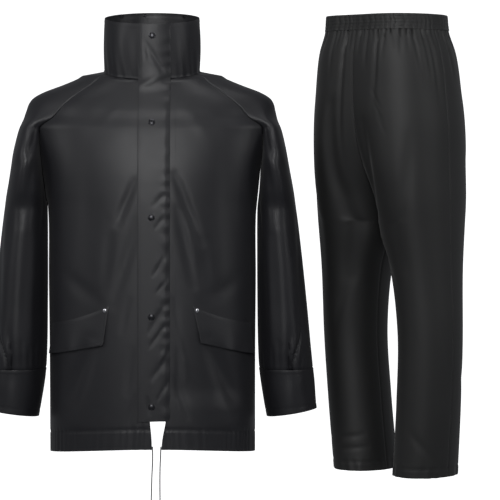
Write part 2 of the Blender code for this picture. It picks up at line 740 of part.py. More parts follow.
def placket_depth(x, z):
    """The depth of the placket's outer face, fuller where it passes the collar's seam."""
    full = PLACKET_FULL * math.exp(-((z + NECK_DIP) / 0.022) ** 2)
    return front_surface(x, z) - LIFT - PLACKET_STAND - full + trough(PLACKET_FOLDS, x, z)


def build_placket(finishes):
    """The storm flap over the front opening and the collar's ends."""
    top = COLLAR_TOP - COLLAR_TILT - 0.001
    neck = np.linspace(top, PLACKET_NECK, 9)
    front = np.linspace(PLACKET_CHEST, PLACKET_HEM, 18)
    rows = []
    for z in np.concatenate([neck, front]):
        row = []
        for share in np.linspace(0, 1, PLACKET_COLUMNS + 1):
            x = PLACKET_FREE + (PLACKET_SEWN - PLACKET_FREE) * share
            droop = PLACKET_DROOP * share * ease(0.60, -PLACKET_HEM, -z)
            row.append((x, placket_depth(x, z), z + droop))
        rows.append(row)
    outer = np.array(rows)
    cloth("placket", outer, thicken(outer), finishes["shell"])


def front_point(side, x, z, out):
    """A point of the front panel moved out, from its place in the front view."""
    hand = 1 if side == "left" else -1
    seam_z = z
    for _ in range(6):
        row = row_at(BODY, seam_z)
        share = math.cos(min(abs(x) / row.front_x, 1.0) * math.pi / 2) ** 1.2
        seam_z = z - level_shift(seam_z, share, True)
    row = row_at(BODY, seam_z)
    ratio = min(abs(x) / row.front_x, 0.9995)
    y = row.front * (1 - ratio ** BODY_ROUND) ** (1 / BODY_ROUND)
    slope = 0.0008
    ratio_near = min((abs(x) + slope) / row.front_x, 0.9999)
    y_near = row.front * (1 - ratio_near ** BODY_ROUND) ** (1 / BODY_ROUND)
    way = np.array([y_near - y, -slope])
    way = way / np.linalg.norm(way)
    pressed = trough(FRONT_FOLDS[side], x, z)
    return np.array([x + hand * way[0] * out, y + way[1] * out + pressed, z])


def build_flap(side, finishes):
    """A pocket flap made from the front panel's points, moved out, fuller towards its hem."""
    inner_top, outer_top, outer_hem, inner_hem = (np.array(corner) for corner in FLAP[side])
    stand = FLAP_STAND[side]
    rows = {WALL + stand: [], stand: []}
    for share in np.linspace(0, 1, FLAP_ROWS + 1):
        start = inner_top * (1 - share) + inner_hem * share
        end = outer_top * (1 - share) + outer_hem * share
        full = FLAP_FULL * share
        for out, grid in rows.items():
            line = []
            for across in np.linspace(0, 1, FLAP_COLUMNS + 1):
                place = start * (1 - across) + end * across
                sag = FLAP_SAG * math.sin(math.pi * across) * (1 - share)
                line.append(front_point(side, place[0], place[1] - sag, out + full))
            grid.append(line)
    outer, inner = (np.array(grid) for grid in rows.values())
    cloth("pocket_flap_" + side, outer, inner, finishes["shell"])


def disc(name, centre, way, radius, height, material, sides=14):
    """A low domed stud, standing on centre and facing way."""
    work = bmesh.new()
    profile = [(radius, 0.0), (radius, height * 0.45), (radius * 0.80, height * 0.85),
               (radius * 0.42, height)]
    way = np.asarray(way, float) / np.linalg.norm(way)
    side = np.cross(way, [0, 0, 1])
    side /= np.linalg.norm(side)
    up = np.cross(side, way)
    rings = []
    for r, h in profile:
        ring = []
        for k in range(sides):
            angle = 2 * math.pi * k / sides
            place = np.asarray(centre) + way * h + side * r * math.cos(angle) + up * r * math.sin(angle)
            ring.append(work.verts.new(place))
        rings.append(ring)
    for low, high in zip(rings, rings[1:]):
        for k in range(sides):
            work.faces.new((low[k], low[(k + 1) % sides], high[(k + 1) % sides], high[k]))
    work.faces.new(rings[0][::-1])
    work.faces.new(rings[-1])
    bmesh.ops.recalc_face_normals(work, faces=work.faces)
    mesh = bpy.data.meshes.new(name)
    work.to_mesh(mesh)
    work.free()
    mesh.shade_smooth()
    mesh.set_sharp_from_angle(angle=math.radians(35))
    mesh.materials.append(material)
    item = bpy.data.objects.new(name, mesh)
    bpy.context.scene.collection.objects.link(item)
    return item


def build_snaps(finishes):
    """Five snaps down the placket and a rivet at each flap's inner top corner."""
    for number, z in enumerate(SNAP_HEIGHTS, start=1):
        step = 0.006
        rise = (placket_depth(SNAP_X, z + step) - placket_depth(SNAP_X, z - step)) / (2 * step)
        way = np.array([0.0, -1.0, rise]) / math.hypot(1.0, rise)
        seat = np.array([SNAP_X, placket_depth(SNAP_X, z), z]) + way * SNAP_SEAT
        disc(f"snap_{number}", seat, way, SNAP_RADIUS, SNAP_HEIGHT, finishes["snap"])
    for side in ("right", "left"):
        hand = 1 if side == "left" else -1
        x = FLAP[side][0][0] + hand * RIVET_INSET[0]
        z = FLAP[side][0][1] + RIVET_INSET[1]
        stand = WALL + FLAP_STAND[side] + RIVET_STAND
        low = front_point(side, x, z, stand)
        high = front_point(side, x, z, stand + 0.001)
        disc("flap_rivet_" + side, low, high - low, RIVET_RADIUS, RIVET_HEIGHT, finishes["rivet"], 10)


def smooth_route(points, count):
    """Even points along a smooth curve through a route's own points."""
    points = np.asarray(points, float)
    keys = np.arange(len(points))
    fine = np.linspace(0, len(points) - 1, 300)
    curve = np.stack([[lookup(keys, points[:, k], t) for t in fine] for k in range(3)], axis=1)
    return spread(curve, count)


def build_cords(finishes):
    """The two drawcord ends, each with its knot."""
    for side, route in CORD_ROUTES.items():
        line = smooth_route(route, CORD_STEPS)
        curve = bpy.data.curves.new("drawcord_end_" + side, "CURVE")
        curve.dimensions = "3D"
        curve.bevel_depth = CORD_RADIUS
        curve.bevel_resolution = 2
        curve.use_fill_caps = True
        spline = curve.splines.new("POLY")
        spline.points.add(len(line) - 1)
        for point, place in zip(spline.points, line):
            point.co = (*place, 1.0)
        curve.materials.append(finishes["cord"])
        item = bpy.data.objects.new("drawcord_end_" + side, curve)
        bpy.context.scene.collection.objects.link(item)
        build_knot(side, line[-1], finishes)


def build_knot(side, end, finishes):
    """A small overhand knot's form under a cord's end."""
    work = bmesh.new()
    bmesh.ops.create_icosphere(work, subdivisions=2, radius=KNOT_RADIUS)
    for vertex in work.verts:
        swirl = math.atan2(vertex.co.y, vertex.co.x) * 2 + vertex.co.z / KNOT_RADIUS * 2
        vertex.co *= 1 + KNOT_SWIRL * math.sin(swirl)
        vertex.co.z *= 0.95
    top = max(vertex.co.z for vertex in work.verts)
    bmesh.ops.translate(work, vec=(end[0], end[1], end[2] - top - KNOT_GAP), verts=work.verts)
    mesh = bpy.data.meshes.new("drawcord_knot_" + side)
    work.to_mesh(mesh)
    work.free()
    mesh.shade_smooth()
    mesh.materials.append(finishes["cord"])
    item = bpy.data.objects.new("drawcord_knot_" + side, mesh)
    bpy.context.scene.collection.objects.link(item)


def leg_half(z):
    """Half of the trousers' section, as (x, y) from the middle front round the side to the middle back."""
    row = row_at(LEG, z)
    turns = np.linspace(math.pi, 0, 91)
    halves = []
    for depth in (row.front, row.back):
        across = np.cos(turns)
        x = row.middle + np.where(across < 0, row.inner, row.outer) * across
        y = depth * np.sin(turns) ** 0.92
        halves.append(np.column_stack([x, y]))
    return np.concatenate([halves[0], halves[1][::-1][1:]])


def cut_at_middle(line):
    """Cut a section where it crosses the middle plane, with half a seam's gap."""
    if line[0, 0] >= SEAM:
        return line
    kept = line[line[:, 0] > SEAM]
    first = np.argmax(line[:, 0] > SEAM)
    last = len(line) - 1 - np.argmax(line[::-1, 0] > SEAM)
    ends = []
    for near, far in ((first, first - 1), (last, last + 1)):
        share = (line[near, 0] - SEAM) / (line[near, 0] - line[far, 0])
        ends.append(line[near] + (line[far] - line[near]) * share)
    return np.concatenate([ends[:1], kept, ends[1:]])


def side_seam(line):
    """The number of the point that reaches furthest out."""
    return int(np.argmax(line[:, 0]))


def gather(z, share, phase):
    """How far the elastic's gathers press the cloth in below the band; share runs over one quarter."""
    wave = 0.5 - 0.5 * math.cos(2 * math.pi * (share * GATHERS / 4 + phase))
    uneven = 0.75 + 0.35 * math.sin(5.0 * share + 9.0 * phase)
    fade = 1 - ease(BAND_HEM - 0.010, BAND_HEM - GATHER_LENGTH * uneven, z)
    return GATHER_DEPTH * wave * uneven * fade


def leg_rows(side, front, heights, columns):
    """Rows of one quarter of the trousers, from the side seam in to the middle, in the local frame."""
    rows = []
    for z in heights:
        line = cut_at_middle(leg_half(z))
        k = side_seam(line)
        line = line[:k + 1][::-1] if front else line[k:]
        line = spread(line, columns)
        rows.append(np.column_stack([line, np.full(columns + 1, z)]))
    grid = np.array(rows)
    ways = leg_ways(grid, front)
    for k, z in enumerate(heights):
        for j in range(columns + 1):
            share = j / columns
            place = 0.5 - share / 2 if front else 0.5 + share / 2
            depth = trough(TROUSER_FOLDS[side], place, z, LEG_GIRTH)
            depth += gather(z, share, 0.0 if front else 0.5)
            edge = min(share, 1 - share) * 8
            depth *= min(1.0, edge) if z < 0.02 else 1.0
            grid[k, j] -= ways[k, j] * depth
    return grid


def leg_ways(grid, front):
    """Outward normals of a leg's quarter."""
    down = np.gradient(grid, axis=0)
    across = np.gradient(grid, axis=1)
    normals = np.cross(across, down) if front else np.cross(-across, down)
    normals = normals / np.maximum(np.linalg.norm(normals, axis=2, keepdims=True), 1e-9)
    middle = np.array([0.5 * float(grid[..., 0].mean()), 0.0, 0.0])
    if float(((grid - middle) * normals)[:2].sum()) < 0:
        normals = -normals
    return normals


def turn_trousers(points):
    """Turn local points to the view and stand them beside the jacket."""
    angle = math.radians(TROUSERS_TURN)
    points = np.asarray(points, float)
    depth = points[..., 1] + TROUSERS_LEAN * (points[..., 2] - LEAN_LEVEL)
    x = points[..., 0] * math.cos(angle) - depth * math.sin(angle) + TROUSERS_X
    y = points[..., 0] * math.sin(angle) + depth * math.cos(angle)
    return np.stack([x, y, points[..., 2]], axis=-1)


def build_trousers(finishes):
    """Four leg panels and the waistband."""
    for side in ("right", "left"):
        hand = np.array([1.0 if side == "left" else -1.0, 1.0, 1.0])
        for name, front in (("front", True), ("back", False)):
            fine = leg_rows(side, front, WAIST_ROWS, WAIST_COLUMNS)
            coarse = leg_rows(side, front, LEG_ROWS, LEG_COLUMNS)
            fine_in = fine - leg_ways(fine, front) * WALL
            coarse_in = coarse - leg_ways(coarse, front) * WALL
            for grid, inner in ((fine, fine_in), (coarse, coarse_in)):
                inner[:, 0] = grid[:, 0] + np.array([-WALL, 0.0, 0.0])
                above = grid[:, -1, 2] > CROTCH + 0.02
                depth = -1.0 if not front else 1.0
                inner[above, -1] = grid[above, -1] + np.array([0.0, depth * WALL, 0.0])
                inner[~above, -1] = grid[~above, -1] + np.array([WALL, 0.0, 0.0])
            rows = list(pull_columns(fine)[:-1]) + list(pull_columns(coarse))
            rows_in = list(pull_columns(fine_in)[:-1]) + list(pull_columns(coarse_in))
            outer = [turn_trousers(row * hand) for row in rows]
            inner = [turn_trousers(row * hand) for row in rows_in]
            cloth(f"trousers_{name}_{side}", outer, inner, finishes["trouser"])
    build_waistband(finishes)


def build_waistband(finishes):
    """The elastic band, its shirring raised in the outer points over a plain inside."""
    outer = []
    inner = []
    for z in (WAIST_TOP, BAND_HEM):
        half = cut_at_middle(leg_half(z))
        ring = np.concatenate([half, half[::-1] * np.array([-1.0, 1.0])])
        ring = spread(np.concatenate([ring, ring[:1]]), BAND_COLUMNS)
        outward = ring / np.linalg.norm(ring, axis=1, keepdims=True)
        raised = np.where(np.arange(len(ring)) % 2 == 0, SHIRR_DEPTH, 0.0)
        outer.append(np.column_stack([ring + outward * raised[:, None], np.full(len(ring), z)]))
        inner.append(np.column_stack([ring - outward * WALL, np.full(len(ring), z)]))
    outer = [turn_trousers(row) for row in outer]
    inner = [turn_trousers(row) for row in inner]
    cloth("waistband", outer, inner, finishes["trouser"], closed_from=0)


def main():
    """Build every piece."""
    clear_scene()
    finishes = {
        "shell": finish("jacket_cloth", (0.016, 0.016, 0.018), 0.42),
        "trouser": finish("trouser_cloth", (0.017, 0.017, 0.017), 0.55),
        "snap": finish("snap_metal", (0.03, 0.03, 0.035), 0.22, 0.9),
        "rivet": finish("rivet_metal", (0.40, 0.40, 0.42), 0.25, 1.0),
        "cord": finish("drawcord_braid", (0.018, 0.018, 0.020), 0.6),
    }
    build_jacket_body(finishes)
    build_collar(finishes)
    build_placket(finishes)
    for side in ("right", "left"):
        build_flap(side, finishes)
    build_snaps(finishes)
    build_cords(finishes)
    build_trousers(finishes)


main()
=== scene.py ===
"""The looks of a rain jacket and its rain trousers, filled out as worn, around their fixed frame.

Every cloth panel is a thin shell on its solid's form: the same sections, read at a fine step, with the
creases, gathers, seams and stitching pressed into them. Metres, +Z up, and the jacket faces -Y.
"""
import json
import logging
import math
from dataclasses import dataclass, field
from enum import Enum
from typing import NamedTuple

import bmesh
import bpy
import numpy as np
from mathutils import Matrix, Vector

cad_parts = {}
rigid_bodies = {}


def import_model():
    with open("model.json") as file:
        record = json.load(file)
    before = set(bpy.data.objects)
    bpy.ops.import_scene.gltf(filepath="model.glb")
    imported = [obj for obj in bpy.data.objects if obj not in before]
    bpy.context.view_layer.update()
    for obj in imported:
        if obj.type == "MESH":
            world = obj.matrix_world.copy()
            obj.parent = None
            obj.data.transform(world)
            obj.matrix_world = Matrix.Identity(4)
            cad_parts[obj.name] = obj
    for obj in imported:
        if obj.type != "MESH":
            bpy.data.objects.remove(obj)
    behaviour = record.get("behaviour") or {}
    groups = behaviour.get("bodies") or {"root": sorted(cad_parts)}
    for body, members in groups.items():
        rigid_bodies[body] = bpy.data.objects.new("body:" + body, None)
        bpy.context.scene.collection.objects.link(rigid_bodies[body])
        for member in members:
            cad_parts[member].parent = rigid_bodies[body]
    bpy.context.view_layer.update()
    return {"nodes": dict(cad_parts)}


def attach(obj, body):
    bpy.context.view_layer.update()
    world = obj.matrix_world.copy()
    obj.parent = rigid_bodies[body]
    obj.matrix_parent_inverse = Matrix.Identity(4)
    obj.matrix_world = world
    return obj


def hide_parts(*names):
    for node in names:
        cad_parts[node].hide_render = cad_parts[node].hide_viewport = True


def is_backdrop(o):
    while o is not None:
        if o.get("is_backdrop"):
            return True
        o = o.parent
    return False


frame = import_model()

ROOT = "root"
log = logging.getLogger("rainwear")


class Side(Enum):
    """The wearer's side that a piece is on, and its sign along X."""

    RIGHT = -1
    LEFT = 1

    @property
    def word(self) -> str:
        """The side as it stands in a node's name."""
        return self.name.lower()


class Slot(Enum):
    """The record's material slots."""

    JACKET = "jacket_shell"
    TROUSERS = "trouser_shell"
    SNAP = "snap"
    RIVET = "rivet"
    CORD = "drawcord"


class Fold(NamedTuple):
    """A soft trough between two places; a negative depth is a ridge."""

    x0: float
    z0: float
    x1: float
    z1: float
    width: float
    depth: float


class Gather(NamedTuple):
    """A gather below the waistband: a trough that opens downwards and fades out.

    Its place is the share of the way from the middle front round to the middle back.
    """

    place: float
    length: float
    depth: float
    width: float
    drift: float


class BodyRow(NamedTuple):
    """Where the body's seams and middles lie at one height of the seam."""

    z: float
    front_x: float
    front_y: float
    back_x: float
    back_y: float
    front: float
    back: float


class SleeveRow(NamedTuple):
    """A sleeve's reach at one height: its inner and outer edge, its front and its back."""

    z: float
    inner: float
    outer: float
    front: float
    back: float


class LegRow(NamedTuple):
    """Half of the trousers at one height: the leg's middle, its reaches and its depths."""

    z: float
    middle: float
    inner: float
    outer: float
    front: float
    back: float


BODY = (
    BodyRow(0.000, 0.0990, -0.0230, 0.0950, 0.031, -0.088, 0.082),
    BodyRow(-0.012, 0.1120, -0.0420, 0.1090, 0.055, -0.091, 0.090),
    BodyRow(-0.029, 0.1300, -0.0580, 0.1290, 0.070, -0.096, 0.098),
    BodyRow(-0.050, 0.1610, -0.0660, 0.1610, 0.075, -0.103, 0.106),
    BodyRow(-0.076, 0.1920, -0.0690, 0.1920, 0.075, -0.111, 0.113),
    BodyRow(-0.101, 0.2120, -0.0690, 0.2120, 0.073, -0.117, 0.118),
    BodyRow(-0.125, 0.2420, -0.0600, 0.2380, 0.067, -0.124, 0.122),
    BodyRow(-0.160, 0.2420, -0.0520, 0.2400, 0.057, -0.132, 0.125),
    BodyRow(-0.210, 0.2380, -0.0400, 0.2370, 0.042, -0.140, 0.126),
    BodyRow(-0.260, 0.2330, -0.0220, 0.2330, 0.022, -0.144, 0.124),
    BodyRow(-0.300, 0.2285, -0.0003, 0.2285, 0.0003, -0.146, 0.121),
    BodyRow(-0.450, 0.2275, -0.0003, 0.2275, 0.0003, -0.150, 0.116),
    BodyRow(-0.600, 0.2262, -0.0003, 0.2262, 0.0003, -0.153, 0.124),
    BodyRow(-0.834, 0.2258, -0.0003, 0.2258, 0.0003, -0.155, 0.145),
)

SHOULDER = (
    # height of the shoulder and sleeve's outer edge, and its reach from the middle
    (0.000, 0.1030),
    (-0.004, 0.1350),
    (-0.018, 0.1670),
    (-0.031, 0.1990),
    (-0.044, 0.2340),
    (-0.057, 0.2580),
    (-0.070, 0.2690),
    (-0.084, 0.2740),
    (-0.128, 0.2865),
    (-0.180, 0.2975),
    (-0.233, 0.3090),
    (-0.300, 0.3200),
)

SLEEVE = (
    SleeveRow(-0.050, 0.1900, 0.2460, -0.062, 0.068),
    SleeveRow(-0.090, 0.2200, 0.2755, -0.074, 0.079),
    SleeveRow(-0.125, 0.2350, 0.2860, -0.080, 0.085),
    SleeveRow(-0.200, 0.2350, 0.3020, -0.086, 0.089),
    SleeveRow(-0.300, 0.2305, 0.3200, -0.087, 0.087),
    SleeveRow(-0.400, 0.2300, 0.3325, -0.086, 0.079),
    SleeveRow(-0.500, 0.2305, 0.3430, -0.084, 0.069),
    SleeveRow(-0.600, 0.2320, 0.3525, -0.082, 0.059),
    SleeveRow(-0.650, 0.2345, 0.3575, -0.076, 0.052),
    SleeveRow(-0.700, 0.2400, 0.3615, -0.074, 0.048),
    SleeveRow(-0.757, 0.2510, 0.3660, -0.071, 0.043),
)

LEG = (
    LegRow(0.120, 0.055, 0.280, 0.0770, -0.102, 0.102),
    LegRow(0.087, 0.055, 0.280, 0.0800, -0.105, 0.105),
    LegRow(0.040, 0.057, 0.260, 0.0930, -0.116, 0.118),
    LegRow(-0.030, 0.060, 0.220, 0.1000, -0.122, 0.126),
    LegRow(-0.110, 0.068, 0.165, 0.0990, -0.125, 0.130),
    LegRow(-0.200, 0.080, 0.114, 0.0880, -0.122, 0.126),
    LegRow(-0.280, 0.091, 0.096, 0.0780, -0.111, 0.116),
    LegRow(-0.340, 0.098, 0.0965, 0.0700, -0.100, 0.104),
    LegRow(-0.430, 0.104, 0.076, 0.0640, -0.087, 0.089),
    LegRow(-0.560, 0.107, 0.064, 0.0635, -0.079, 0.079),
    LegRow(-0.720, 0.099, 0.063, 0.0635, -0.078, 0.078),
    LegRow(-0.880, 0.086, 0.064, 0.0625, -0.080, 0.080),
)

FRONT_FOLDS = {
    Side.RIGHT: (
        Fold(-0.033, -0.240, -0.070, -0.330, 0.010, 0.0035),
        Fold(-0.026, -0.330, -0.080, -0.500, 0.014, 0.0030),
        Fold(-0.125, -0.580, -0.180, -0.730, 0.018, 0.0060),
        Fold(-0.030, -0.020, -0.150, -0.160, 0.030, 0.0015),
    ),
    Side.LEFT: (
        Fold(0.055, -0.225, 0.110, -0.370, 0.010, 0.0040),
        Fold(0.060, -0.300, 0.095, -0.460, 0.011, 0.0035),
        Fold(0.110, -0.370, 0.125, -0.470, 0.016, 0.0030),
        Fold(0.125, -0.580, 0.190, -0.730, 0.018, 0.0060),
    ),
}

FRONT_CREASES = {
    Side.RIGHT: (
        Fold(-0.084, -0.330, -0.096, -0.470, 0.012, 0.0016),
        Fold(-0.044, -0.490, -0.060, -0.560, 0.006, 0.0012),
        Fold(-0.036, -0.600, -0.050, -0.690, 0.007, 0.0014),
        Fold(-0.030, -0.700, -0.052, -0.770, 0.006, 0.0012),
        Fold(-0.150, -0.180, -0.190, -0.420, 0.022, 0.0015),
        Fold(-0.180, -0.440, -0.110, -0.500, 0.016, 0.0018),
        Fold(-0.060, -0.070, -0.110, -0.120, 0.012, -0.0008),
    ),
    Side.LEFT: (
        Fold(0.052, -0.490, 0.075, -0.610, 0.006, 0.0016),
        Fold(0.060, -0.520, 0.079, -0.660, 0.006, -0.0014),
        Fold(0.056, -0.660, 0.082, -0.745, 0.007, 0.0018),
        Fold(0.062, -0.600, 0.060, -0.700, 0.006, 0.0012),
        Fold(0.160, -0.190, 0.196, -0.430, 0.022, 0.0015),
        Fold(0.185, -0.450, 0.120, -0.500, 0.016, 0.0018),
        Fold(0.075, -0.080, 0.130, -0.150, 0.014, -0.0008),
    ),
}

SLEEVE_FOLDS = (
    # x is the share of the way round the sleeve, from the front seam to the back one
    Fold(0.10, -0.130, 0.30, -0.210, 0.012, 0.0035),
    Fold(0.18, -0.200, 0.26, -0.330, 0.012, 0.0035),
    Fold(0.13, -0.400, 0.15, -0.600, 0.012, 0.0030),
    Fold(0.22, -0.360, 0.24, -0.600, 0.010, 0.0025),
    Fold(0.42, -0.330, 0.38, -0.600, 0.014, 0.0035),
    Fold(0.62, -0.220, 0.66, -0.420, 0.016, 0.0040),
    Fold(0.74, -0.380, 0.72, -0.600, 0.014, 0.0035),
    Fold(0.86, -0.300, 0.84, -0.520, 0.012, 0.0030),
)

SLEEVE_GIRTH = 0.36
LEG_GIRTH = 0.62
PLEAT_HALF = 0.0135
PLEAT_RISE = 0.0025
PLEAT_SHARP = 0.0035
COLLAR_TOP = 0.1165
COLLAR_TILT = 0.0165
COLLAR_SWELL = 0.030
COLLAR_SET = 0.002
FLAP_STAND = {Side.RIGHT: 0.0014, Side.LEFT: 0.0022}

CUFF_PLEAT = Fold(0.345, -0.560, 0.300, -0.648, 0.006, 0.0070)

SLEEVE_CREASES = (
    Fold(0.16, -0.590, 0.15, -0.652, 0.0035, 0.0018),
    Fold(0.20, -0.600, 0.19, -0.652, 0.0035, 0.0016),
    Fold(0.24, -0.585, 0.23, -0.652, 0.0035, 0.0020),
    Fold(0.11, -0.610, 0.10, -0.652, 0.0035, 0.0014),
    Fold(0.40, -0.600, 0.36, -0.652, 0.0045, 0.0018),
    Fold(0.55, -0.590, 0.56, -0.652, 0.0040, 0.0016),
    Fold(0.64, -0.600, 0.65, -0.652, 0.0040, 0.0018),
    Fold(0.72, -0.590, 0.70, -0.652, 0.0040, 0.0020),
    Fold(0.80, -0.605, 0.79, -0.652, 0.0040, 0.0015),
    Fold(0.88, -0.595, 0.87, -0.652, 0.0040, 0.0014),
    Fold(0.30, -0.290, 0.36, -0.420, 0.010, 0.0014),
    Fold(0.07, -0.260, 0.13, -0.360, 0.007, 0.0016),
    Fold(0.50, -0.120, 0.44, -0.260, 0.014, 0.0015),
)

BACK_FOLDS = (
    Fold(-0.130, -0.150, -0.090, -0.420, 0.018, 0.0045),
    Fold(0.140, -0.170, 0.085, -0.400, 0.018, 0.0040),
    Fold(-0.190, -0.330, -0.120, -0.560, 0.016, 0.0040),
    Fold(0.190, -0.350, 0.150, -0.640, 0.016, 0.0040),
    Fold(0.020, -0.420, -0.030, -0.700, 0.020, 0.0035),
)

BACK_CREASES = (
    Fold(-0.050, -0.060, 0.060, -0.075, 0.012, 0.0012),
    Fold(-0.170, -0.260, -0.090, -0.300, 0.012, 0.0012),
    Fold(0.160, -0.290, 0.070, -0.340, 0.012, 0.0012),
    Fold(-0.110, -0.600, -0.080, -0.740, 0.012, 0.0016),
    Fold(0.070, -0.560, 0.100, -0.720, 0.012, 0.0016),
)

PLACKET_FOLDS = (
    Fold(-0.020, -0.030, 0.030, -0.012, 0.008, -0.0030),
    Fold(-0.010, 0.060, 0.028, -0.004, 0.006, 0.0015),
    Fold(0.010, -0.290, 0.036, -0.262, 0.006, 0.0012),
    Fold(0.000, -0.560, 0.034, -0.500, 0.007, 0.0015),
    Fold(0.006, -0.660, 0.036, -0.610, 0.007, 0.0015),
)

PLACKET_CREASES = (
    Fold(-0.012, 0.052, -0.010, 0.022, 0.0035, 0.0010),
    Fold(0.012, -0.340, 0.030, -0.315, 0.0040, 0.0010),
    Fold(0.008, -0.440, 0.032, -0.400, 0.0045, 0.0012),
    Fold(0.016, -0.475, 0.036, -0.450, 0.0040, 0.0012),
    Fold(0.002, -0.590, 0.034, -0.545, 0.0045, 0.0014),
    Fold(0.016, -0.640, 0.038, -0.590, 0.0040, -0.0010),
    Fold(0.018, -0.705, 0.038, -0.668, 0.0040, 0.0012),
    Fold(-0.006, -0.700, 0.000, -0.735, 0.0040, 0.0010),
)

TROUSER_FOLDS = {
    # x is the share of the way from the middle front round to the middle back
    Side.LEFT: (
        Fold(0.06, -0.120, 0.10, -0.330, 0.020, 0.0080),
        Fold(0.30, -0.150, 0.26, -0.420, 0.020, 0.0030),
        Fold(0.70, -0.200, 0.74, -0.480, 0.022, 0.0045),
        Fold(0.88, -0.260, 0.80, -0.420, 0.020, 0.0050),
    ),
    Side.RIGHT: (
        Fold(0.12, -0.080, 0.16, -0.440, 0.022, 0.0080),
        Fold(0.34, -0.180, 0.30, -0.460, 0.020, 0.0030),
        Fold(0.68, -0.220, 0.72, -0.500, 0.022, 0.0045),
        Fold(0.88, -0.280, 0.80, -0.440, 0.020, 0.0050),
    ),
}

TROUSER_CREASES = {
    Side.LEFT: (
        Fold(0.12, -0.040, 0.17, -0.085, 0.0035, 0.0012),
        Fold(0.13, -0.065, 0.18, -0.112, 0.0035, 0.0012),
        Fold(0.15, -0.095, 0.19, -0.135, 0.0035, 0.0010),
        Fold(0.05, -0.330, 0.20, -0.470, 0.014, 0.0020),
        Fold(0.44, -0.560, 0.52, -0.700, 0.016, 0.0016),
        Fold(0.28, -0.780, 0.40, -0.840, 0.010, 0.0014),
        Fold(0.60, -0.640, 0.72, -0.760, 0.014, 0.0018),
    ),
    Side.RIGHT: (
        Fold(0.10, -0.050, 0.15, -0.100, 0.0040, 0.0010),
        Fold(0.14, -0.440, 0.24, -0.560, 0.014, 0.0018),
        Fold(0.12, -0.800, 0.36, -0.812, 0.006, 0.0016),
        Fold(0.10, -0.826, 0.34, -0.836, 0.005, 0.0014),
        Fold(0.40, -0.600, 0.50, -0.740, 0.016, 0.0016),
        Fold(0.62, -0.680, 0.74, -0.790, 0.014, 0.0018),
    ),
}

GATHERS = {
    Side.LEFT: (
        Gather(0.035, 0.060, 0.0035, 0.0040, 0.00),
        Gather(0.060, 0.030, 0.0020, 0.0028, 0.00),
        Gather(0.088, 0.090, 0.0045, 0.0045, -0.01),
        Gather(0.120, 0.035, 0.0022, 0.0028, 0.01),
        Gather(0.155, 0.190, 0.0062, 0.0060, -0.03),
        Gather(0.175, 0.030, 0.0022, 0.0028, 0.00),
        Gather(0.200, 0.080, 0.0042, 0.0036, -0.03),
        Gather(0.228, 0.048, 0.0032, 0.0034, 0.01),
        Gather(0.252, 0.030, 0.0022, 0.0028, 0.00),
        Gather(0.280, 0.060, 0.0042, 0.0040, -0.01),
        Gather(0.312, 0.055, 0.0035, 0.0036, 0.00),
        Gather(0.345, 0.150, 0.0052, 0.0050, 0.03),
        Gather(0.372, 0.040, 0.0026, 0.0030, 0.00),
        Gather(0.403, 0.130, 0.0042, 0.0044, 0.02),
        Gather(0.438, 0.170, 0.0048, 0.0052, 0.02),
        Gather(0.470, 0.045, 0.0028, 0.0034, 0.00),
    ),
    Side.RIGHT: (
        Gather(0.030, 0.050, 0.0030, 0.0034, 0.00),
        Gather(0.055, 0.330, 0.0070, 0.0062, 0.03),
        Gather(0.082, 0.035, 0.0024, 0.0030, 0.00),
        Gather(0.105, 0.050, 0.0030, 0.0036, 0.01),
        Gather(0.135, 0.110, 0.0042, 0.0044, 0.00),
        Gather(0.170, 0.032, 0.0024, 0.0030, 0.00),
        Gather(0.210, 0.065, 0.0034, 0.0040, 0.02),
        Gather(0.260, 0.045, 0.0030, 0.0036, 0.00),
        Gather(0.310, 0.110, 0.0042, 0.0046, -0.01),
        Gather(0.355, 0.040, 0.0028, 0.0032, 0.00),
        Gather(0.400, 0.070, 0.0034, 0.0040, 0.01),
        Gather(0.455, 0.048, 0.0030, 0.0036, 0.00),
    ),
}

BACK_GATHERS = (
    Gather(0.530, 0.050, 0.0030, 0.0036, 0.00),
    Gather(0.568, 0.120, 0.0044, 0.0046, 0.01),
    Gather(0.602, 0.038, 0.0026, 0.0032, 0.00),
    Gather(0.640, 0.080, 0.0038, 0.0042, -0.01),
    Gather(0.682, 0.160, 0.0048, 0.0050, 0.02),
    Gather(0.715, 0.040, 0.0028, 0.0032, 0.00),
    Gather(0.752, 0.065, 0.0034, 0.0040, 0.00),
    Gather(0.795, 0.130, 0.0044, 0.0046, 0.01),
    Gather(0.838, 0.045, 0.0030, 0.0034, 0.00),
    Gather(0.880, 0.090, 0.0038, 0.0042, -0.01),
    Gather(0.925, 0.055, 0.0032, 0.0038, 0.00),
    Gather(0.965, 0.040, 0.0028, 0.0034, 0.00),
)

FLAP_CORNERS = {
    # corners on the front panel as (x, z): inner top, outer top, outer hem, inner hem
    Side.RIGHT: ((-0.088, -0.506), (-0.212, -0.546), (-0.2165, -0.614), (-0.099, -0.589)),
    Side.LEFT: ((0.093, -0.506), (0.212, -0.546), (0.2165, -0.614), (0.108, -0.584)),
}

